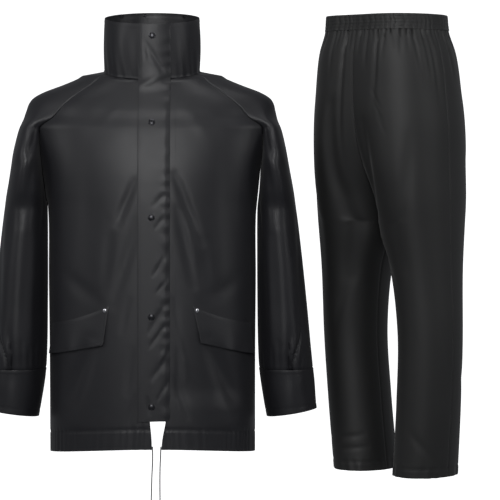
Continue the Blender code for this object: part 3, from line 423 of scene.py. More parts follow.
CORD_ROUTES = {
    # drawcord ends from the hem's channel down, as (x, y, z)
    Side.RIGHT: (
        (0.0056, -0.1543, -0.8060), (0.0057, -0.1543, -0.8150), (0.0060, -0.1543, -0.8250),
        (0.0058, -0.1543, -0.8380), (0.0052, -0.1543, -0.8520), (0.0045, -0.1542, -0.8660),
        (0.0040, -0.1542, -0.8800), (0.0036, -0.1542, -0.8940), (0.0032, -0.1542, -0.9080),
        (0.0028, -0.1542, -0.9220), (0.0023, -0.1542, -0.9370), (0.0018, -0.1542, -0.9520),
        (0.0014, -0.1542, -0.9680), (0.0011, -0.1542, -0.9850), (0.0010, -0.1542, -1.0050),
        (0.0010, -0.1542, -1.0250),
    ),
    Side.LEFT: (
        (0.0238, -0.1543, -0.8060), (0.0235, -0.1543, -0.8130), (0.0232, -0.1543, -0.8210),
        (0.0229, -0.1543, -0.8310), (0.0222, -0.1542, -0.8420), (0.0218, -0.1542, -0.8540),
        (0.0216, -0.1542, -0.8670), (0.0215, -0.1542, -0.8810), (0.0215, -0.1542, -0.8960),
        (0.0216, -0.1542, -0.9110), (0.0217, -0.1542, -0.9260), (0.0219, -0.1542, -0.9410),
        (0.0220, -0.1542, -0.9570), (0.0221, -0.1542, -0.9750), (0.0221, -0.1542, -0.9950),
        (0.0221, -0.1542, -1.0150),
    ),
}


def ease(start: float, end: float, value: np.ndarray | float) -> np.ndarray | float:
    """Go softly from 0 at start to 1 at end.

    Args:
        start: Where the change begins.
        end: Where it is complete.
        value: One place or many.

    Returns:
        The share at each place.
    """
    t = np.clip((np.asarray(value, float) - start) / (end - start), 0.0, 1.0)
    return t * t * (3 - 2 * t)


def lookup(keys: np.ndarray, values: np.ndarray, at: np.ndarray) -> np.ndarray:
    """Read a table smoothly between its rows, along a cubic through them.

    Args:
        keys: The rows' places, rising or falling.
        values: The rows' values.
        at: The places to read.

    Returns:
        The values there, held at the table's ends.
    """
    keys = np.asarray(keys, float)
    values = np.asarray(values, float)
    if keys[0] > keys[-1]:
        keys = keys[::-1]
        values = values[::-1]
    at = np.clip(np.asarray(at, float), keys[0], keys[-1])
    i = np.clip(np.searchsorted(keys, at) - 1, 0, len(keys) - 2)
    steps = np.diff(values) / np.diff(keys)
    slopes = np.concatenate([[steps[0]], (steps[:-1] + steps[1:]) / 2, [steps[-1]]])
    turning = steps[:-1] * steps[1:] <= 0
    slopes[1:-1][turning] = 0
    span = keys[i + 1] - keys[i]
    t = (at - keys[i]) / span
    rise = values[i + 1] - values[i]
    a = slopes[i] * span - rise
    b = -slopes[i + 1] * span + rise
    return values[i] + t * rise + t * (1 - t) * (a * (1 - t) + b * t)


def row_at(table: tuple, z: float) -> tuple:
    """Read a table of rows at any height, as a row of the same kind."""
    keys = [row[0] for row in table]
    columns = list(zip(*table))
    return type(table[0])(z, *(float(lookup(keys, column, z)) for column in columns[1:]))


def spread(points: np.ndarray, count: int) -> np.ndarray:
    """Take count + 1 points at even steps along a line of many points."""
    lengths = np.concatenate([[0], np.cumsum(np.linalg.norm(np.diff(points, axis=0), axis=1))])
    wanted = np.linspace(0, lengths[-1], count + 1)
    return np.stack([np.interp(wanted, lengths, points[:, k]) for k in range(points.shape[1])], axis=1)


def trough(folds: tuple, x: np.ndarray, z: np.ndarray, wide: float = 1.0) -> np.ndarray:
    """How deep the folds press the cloth in.

    Args:
        folds: The folds.
        x: Places across the cloth.
        z: Their heights.
        wide: What one unit of x measures, in metres.

    Returns:
        A depth for each place.
    """
    depth = np.zeros(np.broadcast(x, z).shape)
    for fold in folds:
        way = np.array([(fold.x1 - fold.x0) * wide, fold.z1 - fold.z0])
        length = float(np.linalg.norm(way))
        across = (x - fold.x0) * wide
        down = z - fold.z0
        inside = np.clip((across * way[0] + down * way[1]) / length ** 2, 0.0, 1.0)
        aside = np.hypot(across - inside * way[0], down - inside * way[1])
        fade = np.sin(np.pi * (0.12 + 0.76 * inside))
        depth += fold.depth * fade * np.exp(-(aside / fold.width) ** 2)
    return depth


def grid_normals(points: np.ndarray, closed: bool = False) -> np.ndarray:
    """Normals of a grid whose rows go down and whose columns go from front to back on the left side."""
    down = np.gradient(points, axis=0)
    if closed:
        ahead = np.roll(points[:, :-1], -1, axis=1)
        behind = np.roll(points[:, :-1], 1, axis=1)
        across = np.concatenate([ahead - behind, (ahead - behind)[:, :1]], axis=1)
    else:
        across = np.gradient(points, axis=1)
    normals = np.cross(across, -down)
    return normals / np.maximum(np.linalg.norm(normals, axis=2, keepdims=True), 1e-9)


class Edge(Enum):
    """A panel's edges, with the first column at the start of each row."""

    TOP = "top"
    BOTTOM = "bottom"
    FIRST = "first"
    LAST = "last"


@dataclass
class Shell:
    """A cloth wall: a grid of outer points, thickened inwards.

    Attributes:
        name: The piece's name.
        grid: Outer points, rows from top to bottom.
        wall: The cloth's thickness.
        closed_from: The first row that is a closed loop, if any.
        mirror: Whether the piece is made on the other side of the middle plane.
        turned: Whether the rows run from back to front.
    """

    name: str
    grid: np.ndarray
    wall: float = 0.0012
    closed_from: int | None = None
    mirror: bool = False
    turned: bool = False

    def outward(self) -> np.ndarray:
        """Outward normals, with the closed rows' taken all the way round."""
        ways = grid_normals(self.grid, closed=self.closed_from == 0)
        if self.closed_from:
            first = self.closed_from
            ways[first:] = grid_normals(self.grid[first - 1:], closed=True)[1:]
        return -ways if self.turned else ways

    def press(self, depths: np.ndarray) -> None:
        """Press the cloth in by a depth at each point."""
        self.grid = self.grid - self.outward() * depths[..., None]

    def line(self, edge: Edge, distance: float, start: int = 0, end: int | None = None) -> tuple:
        """Follow an edge at a distance in from it.

        Args:
            edge: The edge.
            distance: How far in, along the cloth.
            start: The first row or column that is followed.
            end: The one before which it ends.

        Returns:
            Points on the cloth's face, and the outward way at each.
        """
        grid = self.grid
        ways = self.outward()
        if edge in {Edge.TOP, Edge.BOTTOM}:
            grid = grid.transpose(1, 0, 2)
            ways = ways.transpose(1, 0, 2)
        if edge in {Edge.BOTTOM, Edge.LAST}:
            grid = grid[:, ::-1]
            ways = ways[:, ::-1]
        grid = grid[start:end]
        ways = ways[start:end]
        steps = np.linalg.norm(np.diff(grid, axis=1), axis=2)
        lengths = np.concatenate([np.zeros((len(grid), 1)), np.cumsum(steps, axis=1)], axis=1)
        i = np.clip((lengths < distance).sum(axis=1) - 1, 0, grid.shape[1] - 2)
        rows = np.arange(len(grid))
        share = ((distance - lengths[rows, i]) / np.maximum(steps[rows, i], 1e-9))[:, None]
        places = grid[rows, i] * (1 - share) + grid[rows, i + 1] * share
        return self.hand(places), self.hand(ways[rows, i])

    def nearest(self, x: np.ndarray, z: np.ndarray) -> tuple:
        """The cloth's points and outward ways at places of the front view."""
        grid = self.grid.reshape(-1, 3)
        side = -1.0 if self.mirror else 1.0
        gaps = (grid[None, :, 0] - side * x[:, None]) ** 2 + (grid[None, :, 2] - z[:, None]) ** 2
        near = gaps.argmin(axis=1)
        ways = self.outward().reshape(-1, 3)[near]
        places = grid[near].copy()
        shift_x = side * x - places[:, 0]
        shift_z = z - places[:, 2]
        places[:, 0] += shift_x
        places[:, 2] += shift_z
        places[:, 1] -= (ways[:, 0] * shift_x + ways[:, 2] * shift_z) / ways[:, 1]
        return self.hand(places), self.hand(ways)

    def hand(self, points: np.ndarray) -> np.ndarray:
        """Points as they stand once the piece is mirrored, if it is."""
        return points * np.array([-1.0, 1.0, 1.0]) if self.mirror else points

    def cut(self) -> tuple:
        """The cut's greatest width and length and its area, in metres."""
        across = np.diff(self.grid, axis=1)
        down = np.diff(self.grid, axis=0)
        width = float(np.linalg.norm(across, axis=2).sum(axis=1).max())
        length = float(np.linalg.norm(down, axis=2).sum(axis=0).max())
        first = np.linalg.norm(np.cross(across[:-1], down[:, :-1]), axis=2).sum() / 2
        second = np.linalg.norm(np.cross(across[1:], down[:, 1:]), axis=2).sum() / 2
        return width, length, float(first + second)

    def build(self, material: bpy.types.Material, slot: Slot, held: str, node: str) -> bpy.types.Object:
        """Make the shell's mesh, with a UV map in metres, as a sheet that stands for a node.

        Args:
            material: The cloth's finish.
            slot: The record's slot for it; not used.
            held: How the cloth is held; not used.
            node: The node that it stands for.

        Returns:
            The new object.
        """
        grid = self.grid
        rows, columns = grid.shape[:2]
        closed_from = rows if self.closed_from is None else self.closed_from
        inner = grid - self.outward() * self.wall
        numbers = np.arange(rows * columns).reshape(rows, columns)
        wrapped = numbers.copy()
        wrapped[closed_from:, -1] = wrapped[closed_from:, 0]
        total = rows * columns
        corners = np.stack([numbers[:-1, :-1], numbers[1:, :-1], numbers[1:, 1:], numbers[:-1, 1:]], axis=-1)
        corners = corners.reshape(-1, 4)
        faces = [corners, corners[:, ::-1] + total]
        for row, other in ((0, False), (-1, True)):
            edge = numbers[row]
            rim = np.stack([edge[:-1], edge[1:], edge[1:] + total, edge[:-1] + total], axis=-1)
            faces.append(rim[:, ::-1] if other else rim)
        for column, other in ((0, False), (-1, True)):
            edge = numbers[:closed_from + 1, column]
            rim = np.stack([edge[:-1], edge[:-1] + total, edge[1:] + total, edge[1:]], axis=-1)
            faces.append(rim[:, ::-1] if other else rim)
        faces = np.concatenate(faces)
        lengths = np.zeros((rows, columns, 2))
        lengths[:, 1:, 0] = np.cumsum(np.linalg.norm(np.diff(grid, axis=1), axis=2), axis=1)
        lengths[1:, :, 1] = np.cumsum(np.linalg.norm(np.diff(grid, axis=0), axis=2), axis=0)
        places = np.concatenate([lengths.reshape(-1, 2)] * 2)
        vertices = self.hand(np.concatenate([grid.reshape(-1, 3), inner.reshape(-1, 3)]))
        joined = np.concatenate([wrapped.reshape(-1), wrapped.reshape(-1) + total])
        used, kept = np.unique(joined, return_inverse=True)
        if self.mirror != self.turned:
            faces = faces[:, ::-1]
        mesh = bpy.data.meshes.new(self.name)
        mesh.from_pydata(vertices[used].tolist(), [], kept[faces].tolist())
        layer = mesh.uv_layers.new(name="cut")
        layer.data.foreach_set("uv", places[faces].reshape(-1))
        item = add_object(self.name, mesh, material)
        width, length, area = self.cut()
        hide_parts(node)
        return item


def add_object(name: str, mesh: bpy.types.Mesh, material: bpy.types.Material) -> bpy.types.Object:
    """Link a mesh as a smooth shaded object.

    Args:
        name: The piece's name.
        mesh: Its mesh.
        material: Its finish.

    Returns:
        The new object.
    """
    mesh.shade_smooth()
    mesh.set_sharp_from_angle(angle=math.radians(60))
    mesh.materials.append(material)
    item = bpy.data.objects.new(name, mesh)
    bpy.context.scene.collection.objects.link(item)
    return item


class Wire:
    """A shader socket that does arithmetic by adding Math nodes."""

    def __init__(self, recipe: "Recipe", socket: bpy.types.NodeSocket) -> None:
        """Wrap a socket of a recipe's tree."""
        self.recipe = recipe
        self.socket = socket

    def _math(self, operation: str, first: "Wire | float", second: "Wire | float") -> "Wire":
        """Add a Math node for two values."""
        return self.recipe.node("ShaderNodeMath", {"operation": operation}, {0: first, 1: second})

    def __add__(self, other: "Wire | float") -> "Wire":
        """Add."""
        return self._math("ADD", self, other)

    def __radd__(self, other: float) -> "Wire":
        """Add to a number."""
        return self._math("ADD", other, self)

    def __sub__(self, other: "Wire | float") -> "Wire":
        """Subtract."""
        return self._math("SUBTRACT", self, other)

    def __rsub__(self, other: float) -> "Wire":
        """Subtract from a number."""
        return self._math("SUBTRACT", other, self)

    def __mul__(self, other: "Wire | float") -> "Wire":
        """Multiply."""
        return self._math("MULTIPLY", self, other)

    def __rmul__(self, other: float) -> "Wire":
        """Multiply a number."""
        return self._math("MULTIPLY", other, self)


class Recipe:
    """A material's node tree, built by calls."""

    def __init__(self, name: str) -> None:
        """Start a Principled material."""
        self.material = bpy.data.materials.new(name)
        self.material.use_nodes = True
        self.tree = self.material.node_tree
        self.shader = self.tree.nodes["Principled BSDF"]

    def node(self, kind: str, settings: dict, inputs: dict, output: int | str = 0) -> Wire:
        """Add a node.

        Args:
            kind: The node's type.
            settings: Its properties, set first; "stops" are a ramp's (place, grey) pairs.
            inputs: Its sockets' values or wires.
            output: The output to hand on.

        Returns:
            That output, as a wire.
        """
        added = self.tree.nodes.new(kind)
        for key, value in settings.items():
            if key == "stops":
                for element, (place, grey) in zip(added.color_ramp.elements, value):
                    element.position = place
                    element.color = (grey, grey, grey, 1.0)
            else:
                setattr(added, key, value)
        for key, value in inputs.items():
            self.feed(added.inputs[key], value)
        return Wire(self, added.outputs[output])

    def feed(self, socket: bpy.types.NodeSocket, value: object) -> None:
        """Link a wire to a socket, or set the socket's value."""
        if isinstance(value, Wire):
            self.tree.links.new(value.socket, socket)
        else:
            socket.default_value = value

    def places(self) -> Wire:
        """Object coordinates."""
        return self.node("ShaderNodeTexCoord", {}, {}, "Object")

    def cut(self) -> Wire:
        """The cloth's own UV map, in metres."""
        return self.node("ShaderNodeUVMap", {"uv_map": "cut"}, {})

    def noise(self, at: Wire, scale: float, detail: float = 2.0, roughness: float = 0.5) -> Wire:
        """Noise at a place."""
        inputs = {"Vector": at, "Scale": scale, "Detail": detail, "Roughness": roughness}
        return self.node("ShaderNodeTexNoise", {}, inputs, "Fac")

    def blend(self, share: Wire, first: tuple, second: tuple) -> Wire:
        """Mix two colours."""
        inputs = {0: share, 6: (*first, 1.0), 7: (*second, 1.0)}
        return self.node("ShaderNodeMix", {"data_type": "RGBA"}, inputs, 2)

    def finish(self, **sockets: object) -> bpy.types.Material:
        """Set the shader's sockets, with underscores for spaces, and hand the material back."""
        for key, value in sockets.items():
            self.feed(self.shader.inputs[key.replace("_", " ")], value)
        return self.material


@dataclass(frozen=True)
class CoatedCloth:
    """Stretch cloth with a waterproof coating.

    Attributes:
        name: The finish's name.
        dark: Its darker tone, which noise mixes at random with the lighter one.
        light: Its lighter tone.
        roughness: How matt the coating is.
        sheen: The soft light at its grazing edges.
        grain: How far the coating's grain rises, in metres.
        pitch: The knit's pitch under the coating, in metres.
    """

    name: str
    dark: tuple
    light: tuple
    roughness: float
    sheen: float
    grain: float
    pitch: float

    def build(self) -> bpy.types.Material:
        """Make the material."""
        recipe = Recipe(self.name)
        at = recipe.places()
        cut = recipe.cut()
        cloudy = recipe.noise(at, 9.0, 3.0)
        streaks = recipe.noise(at, 60.0, 4.0, 0.6)
        grain = recipe.noise(cut, 1.6 / self.pitch, 3.0, 0.6)
        rough = self.roughness + (cloudy - 0.5) * 0.10 + (streaks - 0.5) * 0.08
        tone = cloudy * 0.6 + streaks * 0.4
        height = grain * 0.7 + streaks * 0.3
        bump = recipe.node("ShaderNodeBump", {}, {"Strength": 0.35, "Distance": self.grain, "Height": height})
        return recipe.finish(
            Base_Color=recipe.blend(tone, self.dark, self.light),
            Roughness=rough,
            Normal=bump,
            Sheen_Weight=self.sheen,
            Sheen_Roughness=0.45,
            Specular_IOR_Level=0.45,
        )


@dataclass(frozen=True)
class Thread:
    """Spun sewing thread or braid.

    Attributes:
        name: The finish's name.
        colour: Its colour.
    """

    name: str
    colour: tuple

    def build(self) -> bpy.types.Material:
        """Make the material."""
        recipe = Recipe(self.name)
        fibre = recipe.noise(recipe.places(), 900.0, 2.0)
        lighter = tuple(min(1.0, part * 1.8) for part in self.colour)
        bump = recipe.node("ShaderNodeBump", {}, {"Strength": 0.4, "Distance": 0.0003, "Height": fibre})
        return recipe.finish(
            Base_Color=recipe.blend(fibre, self.colour, lighter),
            Roughness=0.55 + fibre * 0.2,
            Normal=bump,
        )


@dataclass(frozen=True)
class StudMetal:
    """Lacquered or plated metal of a snap or rivet.

    Attributes:
        name: The finish's name.
        colour: Its colour.
        metallic: How far it is bare metal.
        roughness: How matt it is.
    """

    name: str
    colour: tuple
    metallic: float
    roughness: float

    def build(self) -> bpy.types.Material:
        """Make the material."""
        recipe = Recipe(self.name)
        wear = recipe.noise(recipe.places(), 500.0, 4.0, 0.7)
        lighter = tuple(min(1.0, part * 1.5 + 0.01) for part in self.colour)
        return recipe.finish(
            Base_Color=recipe.blend(wear, self.colour, lighter),
            Roughness=self.roughness + (wear - 0.5) * 0.15,
            Metallic=self.metallic,
        )


@dataclass
class Finishes:
    """Every finish, made once."""

    jacket: bpy.types.Material = field(init=False)
    trousers: bpy.types.Material = field(init=False)
    thread: bpy.types.Material = field(init=False)
    cord: bpy.types.Material = field(init=False)
    snap: bpy.types.Material = field(init=False)
    rivet: bpy.types.Material = field(init=False)

    def __post_init__(self) -> None:
        """Build the materials."""
        self.jacket = CoatedCloth(
            "coated_jacket_cloth", (0.0085, 0.0085, 0.0105), (0.0125, 0.0125, 0.0155),
            0.44, 0.05, 0.0002, 0.0006
        ).build()
        self.trousers = CoatedCloth(
            "coated_trouser_cloth", (0.0100, 0.0100, 0.0100), (0.0135, 0.0135, 0.0135),
            0.55, 0.08, 0.0002, 0.0006
        ).build()
        self.thread = Thread("sewing_thread", (0.010, 0.010, 0.011)).build()
        self.cord = Thread("drawcord_braid", (0.012, 0.012, 0.014)).build()
        self.snap = StudMetal("lacquered_snap", (0.020, 0.020, 0.023), 0.7, 0.22).build()
        self.rivet = StudMetal("plated_rivet", (0.45, 0.45, 0.47), 1.0, 0.25).build()


STITCH_RINGS = (
    # share of the stitch's length, girth of the thread there, lift above the cloth in thread radii
    (0.00, 0.0, -0.6),
    (0.25, 1.0, 0.25),
    (0.75, 1.0, 0.25),
    (1.00, 0.0, -0.6),
)
STITCH_SIDES = 4


@dataclass
class Seams:
    """Rows of stitches, gathered into one mesh for each garment.

    Attributes:
        name: The mesh's name.
        pitch: From one stitch to the next.
        length: One stitch's length.
        radius: The thread's radius.
        blocks: The stitches' points, one block for each row.
    """

    name: str
    pitch: float = 0.0034
    length: float = 0.0026
    radius: float = 0.00026
    blocks: list = field(default_factory=list)

    def run(self, line: np.ndarray, ways: np.ndarray) -> None:
        """Sew along a line.

        Args:
            line: Points on the cloth's face.
            ways: The outward way at each.
        """
        lengths = np.concatenate([[0], np.cumsum(np.linalg.norm(np.diff(line, axis=0), axis=1))])
        count = int(lengths[-1] / self.pitch)
        if count < 1:
            return
        starts = (np.arange(count) + 0.15) * self.pitch
        rings = []
        for share, girth, lift in STITCH_RINGS:
            at = starts + share * self.length
            near = self.length / 8
            out = self.read(lengths, ways, at)
            along = self.read(lengths, line, at + near) - self.read(lengths, line, at - near)
            along /= np.maximum(np.linalg.norm(along, axis=1, keepdims=True), 1e-9)
            side = np.cross(along, out)
            middle = self.read(lengths, line, at) + out * lift * self.radius
            if girth == 0.0:
                rings.append(middle[:, None])
                continue
            turns = np.arange(STITCH_SIDES) * 2 * np.pi / STITCH_SIDES
            ring = [middle + (side * np.cos(turn) + out * np.sin(turn)) * self.radius for turn in turns]
            rings.append(np.stack(ring, axis=1))
        self.blocks.append(np.concatenate(rings, axis=1))

    @staticmethod
    def read(lengths: np.ndarray, rows: np.ndarray, at: np.ndarray) -> np.ndarray:
        """Read rows of points or ways at lengths along a line."""
        return np.stack([np.interp(at, lengths, rows[:, k]) for k in range(3)], axis=1)

    def build(self, material: bpy.types.Material, slot: Slot) -> bpy.types.Object:
        """Make the mesh of all stitches."""
        points = np.concatenate(self.blocks)
        last = points.shape[1] - 1
        pattern = []
        for k in range(STITCH_SIDES):
            after = (k + 1) % STITCH_SIDES
            near, far = 1 + k, 1 + after
            pattern.append((0, near, far))
            pattern.append((near, near + STITCH_SIDES, far + STITCH_SIDES))
            pattern.append((near, far + STITCH_SIDES, far))
            pattern.append((last, far + STITCH_SIDES, near + STITCH_SIDES))
        offsets = np.arange(len(points))[:, None, None] * points.shape[1]
        faces = (np.array(pattern)[None] + offsets).reshape(-1, 3)
        mesh = bpy.data.meshes.new(self.name)
        mesh.from_pydata(points.reshape(-1, 3).tolist(), [], faces.tolist())
        item = add_object(self.name, mesh, material)
        return item


@dataclass
class JacketForm:
    """The jacket's sections, shared by its panels.

    Attributes:
        neck_side: Half the neck seam's width.
        neck_front: Its reach forwards.
        neck_back: Its reach backwards.
        neck_dip: How far it drops at the front.
        neck_rise: How far it rises at the back.
        body_round: How square the body's sections are.
        first_row: The height where the neckline has run into the level rows.
    """

    neck_side: float = 0.1025
    neck_front: float = 0.088
    neck_back: float = 0.082
    neck_dip: float = 0.019
    neck_rise: float = 0.010
    hem_rise_front: float = 0.021
    hem_rise_back: float = 0.046
    body_round: float = 2.3
    front_seam_turn: float = 75.0
    back_seam_turn: float = 112.0
    armpit: float = -0.300
    hem: float = -0.834
    sleeve_gap: float = 0.0020
    cuff_top: float = -0.650
    cuff_hem: float = -0.757
    cuff_rise: float = 0.018
    right_edge: float = -0.0015
    left_edge: float = 0.0085
    notch_width: float = 0.0265
    notch_taper: float = 0.0100
    notch_lean: float = 0.0055
    first_row: float = -0.009
    arm_sway: float = 0.004

    def neck_ring(self, turns: np.ndarray) -> np.ndarray:
        """Points of the neck seam at turns in degrees from the middle front."""
        angles = np.radians(turns)
        lean = -np.cos(angles)
        depth = np.where(lean < 0, self.neck_front, self.neck_back)
        z = np.where(lean < 0, self.neck_dip, self.neck_rise) * lean
        return np.stack([self.neck_side * np.sin(angles), depth * lean, z], axis=1)

    def quarter(self, depth: float, side_x: float, side_y: float) -> np.ndarray:
        """A section's quarter from the middle out to the seam, as (x, y)."""
        share = min(abs(side_y) / abs(depth), 0.999)
        half = side_x / (1 - share ** self.body_round) ** (1 / self.body_round)
        across = np.sin(np.linspace(0, math.asin(min(side_x / half, 1.0)), 160))
        y = depth * np.maximum(1 - across ** self.body_round, 0) ** (1 / self.body_round)
        return np.stack([half * across, y], axis=1)

    def level_shift(self, z: float, share: np.ndarray, front: bool) -> np.ndarray:
        """How far a row rises or drops towards the middle, for the neckline and the hem."""
        neck = 1 - ease(0.0, 0.150, -z)
        hem = ease(0.500, 0.834, -z)
        if front:
            return share * (-self.neck_dip * neck + self.hem_rise_front * hem)
        return share * (self.neck_rise * neck + self.hem_rise_back * hem)

    def centre_edge(self, z: float, side: Side) -> float:
        """Where a front's free edge lies, to the wearer's left of the middle."""
        if side is Side.RIGHT:
            return self.right_edge + self.notch_lean * float(ease(0.730, 0.834, -z))
        notch = float(ease(0.690, 0.745, -z))
        return self.left_edge + notch * (self.notch_width - self.notch_taper * float(ease(0.755, 0.834, -z)))

    def body_line(self, z: float, front: bool, columns: int, start: float) -> np.ndarray:
        """One row of the body from its middle edge to its seam.

        Args:
            z: The row's height at the seam.
            front: Whether it is the front.
            columns: How many steps it has.
            start: How far the middle edge is moved out.

        Returns:
            Its points.
        """
        row = row_at(BODY, z)
        side = (row.front_x, row.front_y) if front else (row.back_x, row.back_y)
        line = self.quarter(row.front if front else row.back, *side)
        across = np.linspace(0, 1, len(line))
        line[:, 0] += start * (1 - across) ** 1.5
        line = spread(line, columns)
        share = np.cos(np.linspace(0, math.pi / 2, columns + 1)) ** 1.2
        return np.column_stack([line, z + self.level_shift(z, share, front)])

    def front_line(self, z: float, side: Side, columns: int) -> np.ndarray:
        """One row of a front panel, on the wearer's left for both sides."""
        start = side.value * self.centre_edge(z, side)
        if z > self.first_row:
            ring = self.neck_ring(np.linspace(1, self.front_seam_turn, columns + 1))
            ring[0, 0] = start
            share = z / self.first_row
            return ring * (1 - share) + self.front_line(self.first_row, side, columns) * share
        return self.body_line(z, True, columns, start)

    def back_line(self, z: float, columns: int) -> np.ndarray:
        """One row of the back's left half, from its seam in to the middle."""
        if z > self.first_row:
            ring = self.neck_ring(np.linspace(self.back_seam_turn, 180, columns + 1))
            share = z / self.first_row
            return ring * (1 - share) + self.back_line(self.first_row, columns) * share
        return self.body_line(z, False, columns, 0.0)[::-1]

    def cap_line(self, z: float, columns: int) -> np.ndarray:
        """The upper arm's row as one section with the shoulder."""
        row = row_at(BODY, z)
        reach = float(lookup([r[0] for r in SHOULDER], [r[1] for r in SHOULDER], z))
        reach = max(reach, row.front_x + 0.002)
        halves = []
        for x, y in ((row.front_x, row.front_y), (row.back_x, row.back_y)):
            depth = y / math.sqrt(1 - (x / reach) ** 2)
            turns = np.linspace(math.asin(x / reach), math.pi / 2, 90)
            halves.append(np.column_stack([reach * np.sin(turns), depth * np.cos(turns)]))
        return spread(np.concatenate([halves[0], halves[1][::-1][1:]]), columns)

    def loop_line(self, z: float, columns: int) -> np.ndarray:
        """The arm's row as a closed loop from its inner edge."""
        row = row_at(SLEEVE, z)
        turns = np.linspace(0, 2 * math.pi, 241)
        x = (row.inner + row.outer) / 2 - (row.outer - row.inner) / 2 * np.cos(turns)
        depth = np.where(np.sin(turns) > 0, row.front, row.back)
        return spread(np.column_stack([x, depth * np.abs(np.sin(turns))]), columns)

    def sleeve_line(self, z: float, columns: int) -> np.ndarray:
        """One row of the sleeve, open above the armpit and closed below it."""
        if z > self.first_row:
            ring = self.neck_ring(np.linspace(self.front_seam_turn, self.back_seam_turn, columns + 1))
            share = z / self.first_row
            return ring * (1 - share) + self.sleeve_line(self.first_row, columns) * share
        row = row_at(BODY, z)
        shares = np.linspace(0, 1, columns + 1)
        gap = self.sleeve_gap * float(ease(0.120, 0.300, -z))
        if z <= self.armpit:
            line = self.loop_line(z, columns)
        else:
            turned = float(ease(0.050, 0.200, -z))
            line = self.cap_line(z, columns) * (1 - turned) + self.loop_line(z, columns) * turned
            front = np.array([row.front_x + gap, row.front_y])
            back = np.array([row.back_x + gap, row.back_y])
            front_pull = np.outer((1 - shares) ** 2, front - line[0])
            back_pull = np.outer(shares ** 2, back - line[-1])
            line = line + front_pull + back_pull
        return np.column_stack([line, np.full(columns + 1, z)])

    def sway(self, side: Side) -> float:
        """How much further out one arm hangs than the mean of both."""
        return self.arm_sway if side is Side.RIGHT else -self.arm_sway


